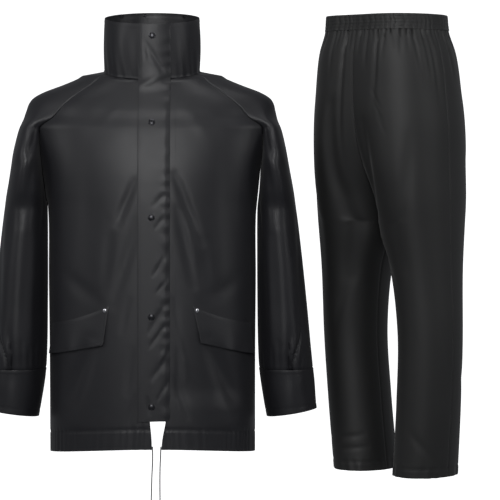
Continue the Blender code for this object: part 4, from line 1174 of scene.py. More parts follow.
@dataclass
class JacketBody:
    """Fronts, back, sleeves and cuffs.

    Attributes:
        form: The jacket's sections.
        finishes: The finishes.
        seams: The jacket's stitches.
        fronts: The front panels once built, for what lies on them.
    """

    form: JacketForm
    finishes: Finishes
    seams: Seams
    step: float = 0.004
    front_columns: int = 66
    back_columns: int = 66
    sleeve_columns: int = 96
    cuff_rows: int = 30
    lap: float = 0.0065
    lap_rise: float = 0.0005
    seam_width: float = 0.0016
    seam_depth: float = 0.0010
    stitch_near: float = 0.0016
    stitch_far: float = 0.0060
    hem_channel: float = 0.044
    elastic_pitch: float = 0.0115
    elastic_depth: float = 0.0030
    pucker_pitch: float = 0.021
    pucker_depth: float = 0.0013
    cuff_stitch: float = 0.015
    fronts: dict = field(default_factory=dict)

    def heights(self, top: float, bottom: float) -> np.ndarray:
        """Even heights from top to bottom."""
        return np.linspace(top, bottom, int(round((top - bottom) / self.step)) + 1)

    def build(self) -> None:
        """Make the panels of both sides."""
        halves = {}
        for side in Side:
            self.build_front(side)
            self.build_sleeve(side)
            self.build_cuff(side)
            halves[side] = self.back_half(side)
        self.build_back(halves)

    def keep(self, shell: Shell, node: str) -> None:
        """Build a shell that stands for a node."""
        shell.build(self.finishes.jacket, Slot.JACKET, "hung", node)

    def upper_heights(self) -> np.ndarray:
        """The heights of the rows above the armpit, close at the neck."""
        near = np.array([0.0, -0.003, -0.006, self.form.first_row])
        return np.concatenate([near, self.heights(-0.012, self.form.armpit + self.step)])

    def build_front(self, side: Side) -> None:
        """Make one front panel and sew its edges."""
        heights = np.concatenate([self.upper_heights(), self.heights(self.form.armpit, self.form.hem)])
        grid = np.array([self.form.front_line(z, side, self.front_columns) for z in heights])
        x = grid[..., 0] * side.value
        z = grid[..., 2]
        shell = Shell("front_" + side.word, grid, mirror=side is Side.RIGHT)
        depths = trough(FRONT_FOLDS[side] + FRONT_CREASES[side], x, z)
        depths += self.hem_relief(grid)
        depths -= self.seam_relief(grid, heights)
        shell.press(depths)
        armpit = len(self.upper_heights())
        for distance in (self.stitch_near, self.stitch_far):
            self.seams.run(*shell.line(Edge.LAST, distance, 0, armpit))
        self.seams.run(*shell.line(Edge.BOTTOM, self.hem_channel))
        self.seams.run(*shell.line(Edge.BOTTOM, self.stitch_near))
        self.fronts[side] = shell
        self.keep(shell, "jacket_front_" + side.word)

    def seam_relief(self, grid: np.ndarray, heights: np.ndarray) -> np.ndarray:
        """How far the laps rise beside the raglan seam, and how the cloth dips at the seam itself."""
        steps = np.linalg.norm(np.diff(grid[:, ::-1], axis=1), axis=2)
        aside = np.concatenate([np.zeros((len(grid), 1)), np.cumsum(steps, axis=1)], axis=1)[:, ::-1]
        above = (heights > self.form.armpit - 0.001)[:, None]
        rise = self.lap_rise * (1 - ease(self.lap - 0.002, self.lap, aside))
        groove = self.seam_depth * np.exp(-(aside / self.seam_width) ** 2)
        return rise * above - groove

    def hem_relief(self, grid: np.ndarray) -> np.ndarray:
        """The hem channel's stitched line, its soft puckers and the elastic's gathers at the sides."""
        lengths = np.linalg.norm(np.diff(grid[::-1], axis=0), axis=2)
        up = np.concatenate([np.zeros((1, grid.shape[1])), np.cumsum(lengths, axis=0)])[::-1]
        x = grid[..., 0]
        girth = np.arctan2(x, np.abs(grid[..., 1])) * 0.2
        line = 0.0012 * np.exp(-((up - self.hem_channel) / 0.0026) ** 2)
        inside = ease(self.hem_channel + 0.014, self.hem_channel - 0.004, up)
        side = ease(0.118, 0.150, x)
        turn = 2 * np.pi * girth / self.elastic_pitch + 0.8 * np.sin(70 * girth)
        elastic = self.elastic_depth * (0.5 - 0.5 * np.cos(turn)) * (0.75 + 0.25 * np.sin(140 * girth))
        wave = np.sin(2 * np.pi * girth / self.pucker_pitch + 1.2 * np.sin(90 * girth) + 25 * up)
        puckers = self.pucker_depth * wave * (0.6 + 0.4 * np.sin(37 * girth + 1))
        return line + (elastic * side + puckers * (1 - side)) * inside

    def back_half(self, side: Side) -> np.ndarray:
        """One half of the back, from its seam in to the middle."""
        heights = np.concatenate([self.upper_heights(), self.heights(self.form.armpit, self.form.hem)])
        grid = np.array([self.form.back_line(z, self.back_columns) for z in heights])
        x = grid[..., 0] * side.value
        z = grid[..., 2]
        depths = trough(BACK_FOLDS + BACK_CREASES, x, z)
        depths += self.hem_relief(grid)
        depths -= self.seam_relief(grid[:, ::-1], heights)[:, ::-1]
        return grid - grid_normals(grid) * depths[..., None]

    def build_back(self, halves: dict) -> None:
        """Join the back's halves into one panel and sew its edges."""
        flip = np.array([-1.0, 1.0, 1.0])
        right = (halves[Side.RIGHT] * flip)[:, ::-1]
        grid = np.concatenate([halves[Side.LEFT], right[:, 1:]], axis=1)
        shell = Shell("back", grid)
        armpit = len(self.upper_heights())
        for edge in (Edge.FIRST, Edge.LAST):
            for distance in (self.stitch_near, self.stitch_far):
                self.seams.run(*shell.line(edge, distance, 0, armpit))
        self.seams.run(*shell.line(Edge.BOTTOM, self.hem_channel))
        self.seams.run(*shell.line(Edge.BOTTOM, self.stitch_near))
        self.keep(shell, "jacket_back")

    def build_sleeve(self, side: Side) -> None:
        """Make one sleeve with its creases, its pleat and the gathers above its cuff."""
        upper = self.upper_heights()
        heights = np.concatenate([upper, self.heights(self.form.armpit, self.form.cuff_top)])
        grid = np.array([self.form.sleeve_line(z, self.sleeve_columns) for z in heights])
        shares = np.linspace(0, 1, self.sleeve_columns + 1)
        out = self.form.sway(side) * ease(0.030, 0.120, -heights)
        grid[..., 0] += out[:, None] * np.sin(np.pi * shares) ** 2
        z = grid[..., 2]
        across = np.broadcast_to(shares, z.shape)
        depths = trough(SLEEVE_FOLDS + SLEEVE_CREASES, across, z, SLEEVE_GIRTH)
        depths += self.pleat_relief(across, z)
        first_edge = np.sin(np.pi * np.clip(across * 12, 0, 0.5))
        last_edge = np.sin(np.pi * np.clip((1 - across) * 12, 0, 0.5))
        edge = first_edge * last_edge
        steps = np.minimum(shares, 1 - shares) * SLEEVE_GIRTH
        groove = self.seam_depth * np.exp(-(steps / self.seam_width) ** 2)
        cuff = 0.0014 * np.exp(-((z - self.form.cuff_top) / 0.0022) ** 2)
        shell = Shell("sleeve_cloth_" + side.word, grid, closed_from=len(upper), mirror=side is Side.RIGHT)
        shell.press(depths * edge + groove + cuff)
        shell.grid[len(upper):, -1] = shell.grid[len(upper):, 0]
        self.keep(shell, "sleeve_" + side.word)

    def pleat_relief(self, across: np.ndarray, z: np.ndarray) -> np.ndarray:
        """The tucked pleat above the cuff: a soft tongue of cloth between two sharp folds."""
        share = ease(CUFF_PLEAT.z0, CUFF_PLEAT.z1, z)
        middle = CUFF_PLEAT.x0 + (CUFF_PLEAT.x1 - CUFF_PLEAT.x0) * share
        half = PLEAT_HALF * (1 - 0.75 * share)
        aside = (across - middle) * SLEEVE_GIRTH
        rise = ease(CUFF_PLEAT.z0 + 0.030, CUFF_PLEAT.z1 + 0.020, z)
        tongue = -PLEAT_RISE * np.exp(-(aside / half) ** 2)
        first_fold = np.exp(-((aside - half) / PLEAT_SHARP) ** 2)
        last_fold = np.exp(-((aside + half) / PLEAT_SHARP) ** 2)
        folds = CUFF_PLEAT.depth * (first_fold + last_fold)
        closing = 1 - ease(CUFF_PLEAT.z1 + 0.012, CUFF_PLEAT.z1, z)
        return (folds + tongue * closing) * rise

    def build_cuff(self, side: Side) -> None:
        """Make one cuff, whose hem rises towards its outer side."""
        shares = np.linspace(0, 1, self.sleeve_columns + 1)
        down = np.linspace(0, 1, self.cuff_rows)
        height = self.form.cuff_top - self.form.cuff_hem
        rows = []
        for share in down:
            z = self.form.cuff_top - height * share
            line = self.form.loop_line(z, self.sleeve_columns)
            line[:, 0] += self.form.sway(side) * np.sin(np.pi * shares) ** 2
            rise = self.form.cuff_rise * share * np.sin(np.pi * shares) ** 2
            rows.append(np.column_stack([line, z + rise]))
        aside = down[:, None] * height
        soft = 0.0010 * np.sin(shares * 2 * np.pi * 5 + 3 * down[:, None]) * np.sin(np.pi * down[:, None])
        groove = self.seam_depth * np.exp(-(aside / self.seam_width) ** 2)
        lap = -self.lap_rise * (1 - ease(self.lap - 0.002, self.lap, aside))
        hem = 0.0005 * np.exp(-((aside - height + self.cuff_stitch) / 0.0014) ** 2)
        shell = Shell("cuff_cloth_" + side.word, np.array(rows), closed_from=0, mirror=side is Side.RIGHT)
        shell.press(soft + groove + lap + hem)
        shell.grid[:, -1] = shell.grid[:, 0]
        self.seams.run(*shell.line(Edge.TOP, self.stitch_near))
        self.seams.run(*shell.line(Edge.BOTTOM, self.cuff_stitch))
        self.keep(shell, "cuff_" + side.word)


@dataclass
class Collar:
    """The stand collar.

    Attributes:
        form: The jacket's sections.
        finishes: The finishes.
        seams: The jacket's stitches.
    """

    form: JacketForm
    finishes: Finishes
    seams: Seams
    top: float = COLLAR_TOP
    tilt: float = COLLAR_TILT
    swell: float = COLLAR_SWELL
    columns: int = 180
    rows: int = 40
    ends: tuple = (354.0, 1.5)
    wall: float = 0.0014
    eyelet_turns: tuple = (222.0, 191.0, 138.0)
    eyelet_radius: float = 0.0030
    eyelet_wire: float = 0.0009
    eyelet_share: float = 0.955

    def point(self, turn: float, share: float) -> np.ndarray:
        """A point of the collar's outer face, from its seam (0) to its top edge (1)."""
        turn = turn - 360 if turn > 180 else turn
        angle = math.radians(turn)
        base = self.form.neck_ring(np.array([abs(turn)]))[0]
        lean = -math.cos(angle)
        depth = self.form.neck_front if lean < 0 else self.form.neck_back
        swell = 1 + self.swell * math.sin(math.pi * share)
        top = self.top + self.tilt * lean
        y = depth * swell * lean + COLLAR_SET * share
        return np.array([self.form.neck_side * swell * math.sin(angle), y, base[2] + (top - base[2]) * share])

    def build(self) -> None:
        """Make the collar with its soft folds, the stitched fold of its top edge and its eyelets."""
        turns = np.linspace(*self.ends, self.columns + 1)
        shares = np.linspace(1, 0, self.rows)
        grid = np.array([[self.point(turn, share) for turn in turns] for share in shares])
        around = np.linspace(0, 1, self.columns + 1)[None, :]
        down = (1 - shares)[:, None]
        soft = 0.0012 * np.sin(around * 2 * np.pi * 9 + 2 * np.sin(around * 17)) * np.sin(np.pi * down)
        gathers = 0.0009 * np.sin(around * 2 * np.pi * 23 + down * 5) * down ** 2
        line = 0.0005 * np.exp(-((down - 0.055) / 0.010) ** 2)
        groove = 0.0012 * np.exp(-((1 - down) / 0.014) ** 2)
        shell = Shell("collar_shell", grid, wall=self.wall)
        shell.press(soft + gathers + line + groove)
        self.seams.run(*shell.line(Edge.TOP, 0.0062))
        self.seams.run(*shell.line(Edge.BOTTOM, 0.0022))
        item = shell.build(self.finishes.jacket, Slot.JACKET, "hung", "collar")
        item.name = "collar_shell"
        self.build_eyelets()

    def build_eyelets(self) -> None:
        """Make the dark eyelets inside the collar's back."""
        for number, turn in enumerate(self.eyelet_turns, start=1):
            out = self.point(turn, self.eyelet_share)
            way = Vector((-out[0], -out[1], 0.0)).normalized()
            bpy.ops.object.select_all(action="DESELECT")
            bpy.ops.mesh.primitive_torus_add(
                major_radius=self.eyelet_radius,
                minor_radius=self.eyelet_wire,
                major_segments=28,
                minor_segments=8,
            )
            eyelet = bpy.context.object
            eyelet.name = f"collar_eyelet_{number}"
            bpy.ops.object.mode_set(mode="EDIT")
            bpy.ops.mesh.select_all(action="SELECT")
            bpy.ops.transform.resize(value=(1.0, 1.0, 0.55))
            bpy.ops.object.mode_set(mode="OBJECT")
            bpy.ops.object.shade_smooth()
            place = Vector(out) + way * (self.wall + 0.0006)
            turned = way.to_track_quat("Z", "Y").to_matrix().to_4x4()
            turned.translation = place
            eyelet.data.transform(turned)
            eyelet.data.materials.append(self.finishes.snap)


@dataclass
class Placket:
    """The storm flap over the front opening.

    Attributes:
        form: The jacket's sections.
        finishes: The finishes.
        seams: The jacket's stitches.
    """

    form: JacketForm
    finishes: Finishes
    seams: Seams
    free_edge: float = -0.0262
    sewn_edge: float = 0.0435
    hem: float = -0.753
    lift: float = 0.0036
    full: float = 0.0035
    full_reach: float = 0.022
    droop: float = 0.002
    columns: int = 28
    rows: int = 230
    hold_down: float = 0.0014
    stitch_in: float = 0.0040
    panel_stitch: float = 0.0548

    def surface(self, x: np.ndarray, z: np.ndarray) -> np.ndarray:
        """The depth of the jacket's front near its middle, collar included."""
        keys = [row.z for row in BODY]
        at = np.minimum(z + self.form.neck_dip * (1 - ease(0.0, 0.150, -z)), 0.0)
        front_x = lookup(keys, [row.front_x for row in BODY], at)
        front_y = lookup(keys, [row.front_y for row in BODY], at)
        front = lookup(keys, [row.front for row in BODY], at)
        power = self.form.body_round
        share = np.minimum(np.abs(front_y) / np.abs(front), 0.999)
        half = front_x / (1 - share ** power) ** (1 / power)
        body = front * (1 - np.minimum(np.abs(x) / half, 1.0) ** power) ** (1 / power)
        base = -self.form.neck_dip
        share = np.clip((z - base) / (COLLAR_TOP - COLLAR_TILT - base), 0.0, 1.0)
        swell = 1 + COLLAR_SWELL * np.sin(np.pi * share)
        ring = np.sqrt(1 - (x / (self.form.neck_side * swell)) ** 2)
        collar = -self.form.neck_front * swell * ring + COLLAR_SET * share
        upward = ease(base - 0.012, base + 0.006, z)
        return body * (1 - upward) + collar * upward

    def depth(self, x: np.ndarray, z: np.ndarray) -> np.ndarray:
        """The depth of the placket's outer face, fuller where it passes the collar's seam."""
        full = self.full * np.exp(-((z + self.form.neck_dip) / self.full_reach) ** 2)
        return self.surface(x, z) - self.lift - full + trough(PLACKET_FOLDS, x, z)

    def build(self, fronts: dict) -> None:
        """Make the placket and sew its long edges and the second row beside it on the left front."""
        top = COLLAR_TOP - COLLAR_TILT - 0.001
        heights = np.linspace(top, self.hem, self.rows)[:, None]
        shares = np.linspace(0, 1, self.columns + 1)[None, :]
        across = self.free_edge + (self.sewn_edge - self.free_edge) * shares
        x = np.broadcast_to(across, (self.rows, self.columns + 1))
        z = heights + self.droop * shares * ease(0.60, -self.hem, -heights)
        sewn = ease(0.82, 1.0, shares) * ease(0.050, 0.080, -heights) * self.hold_down
        y = self.depth(x, np.broadcast_to(heights, x.shape)) + sewn
        grid = np.stack([x, y, z], axis=-1)
        shell = Shell("storm_flap", grid)
        down = np.broadcast_to(z, x.shape)
        near_seam = np.exp(-((1 - shares) / 0.22) ** 2)
        wave = 0.0007 * np.sin(down * 2 * np.pi / 0.031 + 3 * np.sin(down * 23)) * near_seam
        rolled = 0.0006 * np.exp(-(np.minimum(shares, 1 - shares) / 0.015) ** 2)
        groove = 0.0004 * np.exp(-((np.minimum(shares, 1 - shares) - 0.058) / 0.018) ** 2)
        shell.press(trough(PLACKET_CREASES, x, down) + wave + rolled + groove)
        for edge in (Edge.FIRST, Edge.LAST, Edge.BOTTOM):
            self.seams.run(*shell.line(edge, self.stitch_in))
        self.seams.run(*shell.line(Edge.LAST, 0.0016))
        shell.build(self.finishes.jacket, Slot.JACKET, "hung", "placket")
        self.sew_panel(fronts[Side.LEFT])

    def sew_panel(self, front: Shell) -> None:
        """Sew the second row that holds the placket, on the left front."""
        z = np.linspace(-0.030, -0.800, 260)
        self.seams.run(*front.nearest(np.full(len(z), self.panel_stitch), z))


@dataclass
class PocketFlap:
    """A pocket flap, made from the front panel's points, moved out.

    Attributes:
        form: The jacket's sections.
        finishes: The finishes.
        seams: The jacket's stitches.
        side: The wearer's side.
    """

    form: JacketForm
    finishes: Finishes
    seams: Seams
    side: Side
    stand: float
    full: float = 0.0050
    sag: float = 0.004
    columns: int = 52
    rows: int = 32
    solid_wall: float = 0.0014
    stitch_in: float = 0.0060

    def on_front(self, x: np.ndarray, z: np.ndarray, out: np.ndarray | float) -> np.ndarray:
        """Points of the front panel moved out, from places in the front view."""
        keys = [row.z for row in BODY]
        seam_z = z.copy()
        for _ in range(6):
            front_x = lookup(keys, [row.front_x for row in BODY], seam_z)
            share = np.cos(np.minimum(np.abs(x) / front_x, 1.0) * np.pi / 2) ** 1.2
            hem = ease(0.500, 0.834, -seam_z)
            neck = 1 - ease(0.0, 0.150, -seam_z)
            seam_z = z - share * (-self.form.neck_dip * neck + self.form.hem_rise_front * hem)
        front_x = lookup(keys, [row.front_x for row in BODY], seam_z)
        front = lookup(keys, [row.front for row in BODY], seam_z)
        power = self.form.body_round
        near = 0.0008
        y = front * (1 - np.minimum(np.abs(x) / front_x, 0.9995) ** power) ** (1 / power)
        y_near = front * (1 - np.minimum((np.abs(x) + near) / front_x, 0.9999) ** power) ** (1 / power)
        way = np.stack([y_near - y, np.full(x.shape, -near)], axis=-1)
        way /= np.linalg.norm(way, axis=-1, keepdims=True)
        pressed = trough(FRONT_FOLDS[self.side], x, z)
        across = x + self.side.value * way[..., 0] * out
        depth = y + way[..., 1] * out + pressed
        return np.stack([across, depth, z], axis=-1)

    def build(self) -> None:
        """Make the flap and sew round its free edges."""
        inner_top, outer_top, outer_hem, inner_hem = (np.array(corner) for corner in FLAP_CORNERS[self.side])
        down = np.linspace(0, 1, self.rows)[:, None]
        across = np.linspace(0, 1, self.columns + 1)[None, :]
        place = [
            (inner_top[k] * (1 - down) + inner_hem[k] * down) * (1 - across)
            + (outer_top[k] * (1 - down) + outer_hem[k] * down) * across
            for k in range(2)
        ]
        sag = self.sag * np.sin(np.pi * across) * (1 - down)
        out = self.solid_wall + self.stand + self.full * down
        grid = self.on_front(place[0], place[1] - sag, out)
        shell = Shell("flap_" + self.side.word, grid, turned=self.side is Side.RIGHT)
        wave = 0.0010 * np.sin(across * 2 * np.pi * 2.5 + 2 * down) * down ** 2
        edge = np.minimum(np.minimum(across, 1 - across) * 0.13, (1 - down) * 0.08)
        groove = 0.0004 * np.exp(-((edge - self.stitch_in) / 0.0012) ** 2)
        rolled = 0.0005 * np.exp(-(edge / 0.0014) ** 2)
        seat = 0.0008 * np.exp(-(down * 0.08 / 0.004) ** 2)
        shell.press(wave + groove + rolled + seat)
        for side in (Edge.FIRST, Edge.LAST, Edge.BOTTOM):
            for distance in (0.0018, self.stitch_in):
                self.seams.run(*shell.line(side, distance))
        self.seams.run(*shell.line(Edge.TOP, 0.0030))
        shell.build(self.finishes.jacket, Slot.JACKET, "laid", "pocket_flap_" + self.side.word)


@dataclass
class Stud:
    """A turned metal cap, modelled once at the origin facing +Z, then copied.

    Attributes:
        radius: Its radius.
        base: The height of its rim.
        sink: How far its shank goes into the cloth.
        steps: Each further ring as (how far in, how far up), in metres.
    """

    radius: float
    base: float
    sink: float
    steps: tuple
    sides: int = 40

    def model(self, name: str) -> bpy.types.Object:
        """Model the cap with edit-mode operators and an applied bevel."""
        bpy.ops.object.select_all(action="DESELECT")
        middle = (self.base - self.sink) / 2
        bpy.ops.mesh.primitive_cylinder_add(
            vertices=self.sides, radius=self.radius, depth=self.base + self.sink, location=(0.0, 0.0, middle)
        )
        cap = bpy.context.object
        cap.name = name
        bpy.ops.object.transform_apply(location=True, rotation=True, scale=True)
        bpy.ops.object.mode_set(mode="EDIT")
        bpy.ops.mesh.select_mode(type="FACE")
        bpy.ops.mesh.select_all(action="DESELECT")
        work = bmesh.from_edit_mesh(cap.data)
        top = max(work.faces, key=lambda face: face.calc_center_median().z)
        top.select_set(True)
        bmesh.update_edit_mesh(cap.data)
        for inwards, upwards in self.steps:
            bpy.ops.mesh.inset(thickness=inwards, depth=upwards)
        bpy.ops.object.mode_set(mode="OBJECT")
        soft = cap.modifiers.new("soft_edges", "BEVEL")
        soft.width = self.radius * 0.035
        soft.segments = 2
        soft.limit_method = "ANGLE"
        soft.angle_limit = math.radians(28)
        bpy.ops.object.modifier_apply(modifier=soft.name)
        bpy.ops.object.shade_smooth_by_angle(angle=math.radians(35))
        return cap

    @staticmethod
    def copy_to(cap: bpy.types.Object, name: str, place: np.ndarray, way: np.ndarray) -> bpy.types.Object:
        """Copy a cap to a place, facing a way, with a mesh of its own at the origin."""
        copy = cap.copy()
        copy.data = cap.data.copy()
        copy.name = name
        turned = Vector(way).to_track_quat("Z", "Y").to_matrix().to_4x4()
        turned.translation = Vector(place)
        copy.data.transform(turned)
        bpy.context.scene.collection.objects.link(copy)
        return copy


@dataclass
class Fasteners:
    """The storm flap's snaps and the pocket flaps' rivets."""

    placket: Placket
    flaps: dict
    finishes: Finishes
    snap_heights: tuple = (0.0745, -0.112, -0.316, -0.528, -0.721)
    snap_x: float = 0.0039
    snap_seat: float = 0.0006
    rivet_inset: tuple = (0.0075, -0.0085)
    rivet_stand: float = 0.0013
    snap: Stud = field(default_factory=lambda: Stud(
        0.0076, 0.0007, 0.0008,
        ((0.0004, 0.0003), (0.0005, -0.0002), (0.0009, 0.0006), (0.0014, 0.0005),
         (0.0016, 0.0003), (0.0014, 0.0001)),
    ))
    rivet: Stud = field(default_factory=lambda: Stud(
        0.0044, 0.0004, 0.0008, ((0.0006, 0.0004), (0.0008, 0.0005), (0.0010, 0.0003), (0.0008, 0.0001)),
    ))

    def build(self) -> None:
        """Make and place every cap."""
        cap = self.snap.model("snap_cap")
        for number, z in enumerate(self.snap_heights, start=1):
            place, way = self.snap_place(z)
            item = self.snap.copy_to(cap, f"snap_cap_{number}", place, way)
            self.finish(item, self.finishes.snap, Slot.SNAP, f"snap_{number}")
        bpy.data.objects.remove(cap)
        cap = self.rivet.model("rivet_cap")
        for side in Side:
            place, way = self.rivet_place(side)
            item = self.rivet.copy_to(cap, "rivet_cap_" + side.word, place, way)
            self.finish(item, self.finishes.rivet, Slot.RIVET, "flap_rivet_" + side.word)
        bpy.data.objects.remove(cap)

    def finish(self, item: bpy.types.Object, material: bpy.types.Material, slot: Slot, node: str) -> None:
        """Give a cap its finish and let it stand for its node."""
        item.data.materials.clear()
        item.data.materials.append(material)
        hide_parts(node)

    def snap_place(self, z: float) -> tuple:
        """Where a snap sits, and the way it faces."""
        step = 0.006
        x = np.full(3, self.snap_x)
        low, middle, high = self.placket.depth(x, np.array([z - step, z, z + step]))
        rise = (high - low) / (2 * step)
        way = np.array([0.0, -1.0, rise]) / math.hypot(1.0, rise)
        return np.array([self.snap_x, middle, z]) + way * self.snap_seat, way

    def rivet_place(self, side: Side) -> tuple:
        """Where a rivet sits, and the way it faces."""
        flap = self.flaps[side]
        corner = FLAP_CORNERS[side][0]
        x = np.array([corner[0] + side.value * self.rivet_inset[0]])
        z = np.array([corner[1] + self.rivet_inset[1]])
        stand = flap.solid_wall + flap.stand + self.rivet_stand
        low = flap.on_front(x, z, stand)[0]
        high = flap.on_front(x, z, stand + 0.001)[0]
        return low, (high - low) / np.linalg.norm(high - low)


@dataclass
class Drawcords:
    """The two free ends of the hem's drawcord, each with its knot."""

    finishes: Finishes
    radius: float = 0.00125
    steps: int = 80
    knot_radius: float = 0.0042
    knot_gap: float = 0.0004
    knot_wire: float = 0.00105

    def build(self) -> None:
        """Make both ends."""
        for side, route in CORD_ROUTES.items():
            line = self.smooth(np.array(route))
            curve = bpy.data.curves.new("cord_" + side.word, "CURVE")
            curve.dimensions = "3D"
            curve.bevel_depth = self.radius
            curve.bevel_resolution = 4
            curve.use_fill_caps = True
            spline = curve.splines.new("POLY")
            spline.points.add(len(line) - 1)
            for point, place in zip(spline.points, line):
                point.co = (*place, 1.0)
            curve.materials.append(self.finishes.cord)
            item = bpy.data.objects.new("cord_" + side.word, curve)
            bpy.context.scene.collection.objects.link(item)
            knot = self.build_knot(side, line[-1])
            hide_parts("drawcord_end_" + side.word)

    def smooth(self, points: np.ndarray) -> np.ndarray:
        """Even points along a smooth curve through a route's own points."""
        keys = np.arange(len(points))
        fine = np.linspace(0, len(points) - 1, 300)
        curve = np.stack([lookup(keys, points[:, k], fine) for k in range(3)], axis=1)
        return spread(curve, self.steps)

    def build_knot(self, side: Side, end: np.ndarray) -> bpy.types.Object:
        """Make an overhand knot under the cord's end, drawn tight."""
        turns = np.linspace(0, 2 * np.pi, 97)[:-1]
        scale = (self.knot_radius - self.knot_wire) / 3
        x = np.sin(turns) + 2 * np.sin(2 * turns)
        y = np.cos(turns) - 2 * np.cos(2 * turns)
        line = np.stack([x, -1.2 * np.sin(3 * turns), y], axis=1) * scale
        ahead = np.roll(line, -1, axis=0) - np.roll(line, 1, axis=0)
        ahead /= np.linalg.norm(ahead, axis=1, keepdims=True)
        aside = np.cross(ahead, np.array([0.0, 1.0, 0.0]))
        aside /= np.linalg.norm(aside, axis=1, keepdims=True)
        up = np.cross(aside, ahead)
        sides = np.linspace(0, 2 * np.pi, 11)[:-1]
        rings = [line + (aside * np.cos(a) + up * np.sin(a)) * self.knot_wire for a in sides]
        points = np.stack(rings, axis=1)
        top = points[..., 2].max()
        points += np.array([end[0], end[1], end[2] - top - self.knot_gap])
        numbers = np.arange(points.shape[0] * points.shape[1]).reshape(points.shape[:2])
        far = np.roll(numbers, -1, axis=0)
        faces = np.stack([numbers, far, np.roll(far, -1, axis=1), np.roll(numbers, -1, axis=1)], axis=-1)
        mesh = bpy.data.meshes.new("knot_" + side.word)
        mesh.from_pydata(points.reshape(-1, 3).tolist(), [], faces.reshape(-1, 4).tolist())
        item = add_object("knot_" + side.word, mesh, self.finishes.cord)
        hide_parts("drawcord_knot_" + side.word)
        return item


@dataclass
class TrousersForm:
    """The trousers' sections in their own frame, and how they stand."""

    x: float = 0.527
    turn: float = -43.6
    lean: float = -0.0345
    lean_level: float = -0.500
    waist_top: float = 0.120
    band_hem: float = 0.087
    crotch: float = -0.340
    hem: float = -0.880

    def half(self, z: float) -> np.ndarray:
        """Half of a section, from the middle front round the side to the middle back."""
        row = row_at(LEG, z)
        turns = np.linspace(math.pi, 0, 181)
        across = np.cos(turns)
        x = row.middle + np.where(across < 0, row.inner, row.outer) * across
        front, back = (np.column_stack([x, depth * np.sin(turns) ** 0.92]) for depth in (row.front, row.back))
        return self.cut_at_middle(np.concatenate([front, back[::-1][1:]]))

    @staticmethod
    def cut_at_middle(line: np.ndarray) -> np.ndarray:
        """Cut a section where it crosses the middle plane."""
        if line[0, 0] >= 0:
            return line
        inside = line[:, 0] > 0
        first = int(np.argmax(inside))
        last = len(line) - 1 - int(np.argmax(inside[::-1]))
        ends = []
        for near, far in ((first, first - 1), (last, last + 1)):
            share = line[near, 0] / (line[near, 0] - line[far, 0])
            ends.append(line[near] + (line[far] - line[near]) * share)
        return np.concatenate([ends[:1], line[inside], ends[1:]])

    def stand(self, points: np.ndarray) -> np.ndarray:
        """Turn local points to the view and stand them beside the jacket."""
        angle = math.radians(self.turn)
        depth = points[..., 1] + self.lean * (points[..., 2] - self.lean_level)
        x = points[..., 0] * math.cos(angle) - depth * math.sin(angle) + self.x
        y = points[..., 0] * math.sin(angle) + depth * math.cos(angle)
        return np.stack([x, y, points[..., 2]], axis=-1)


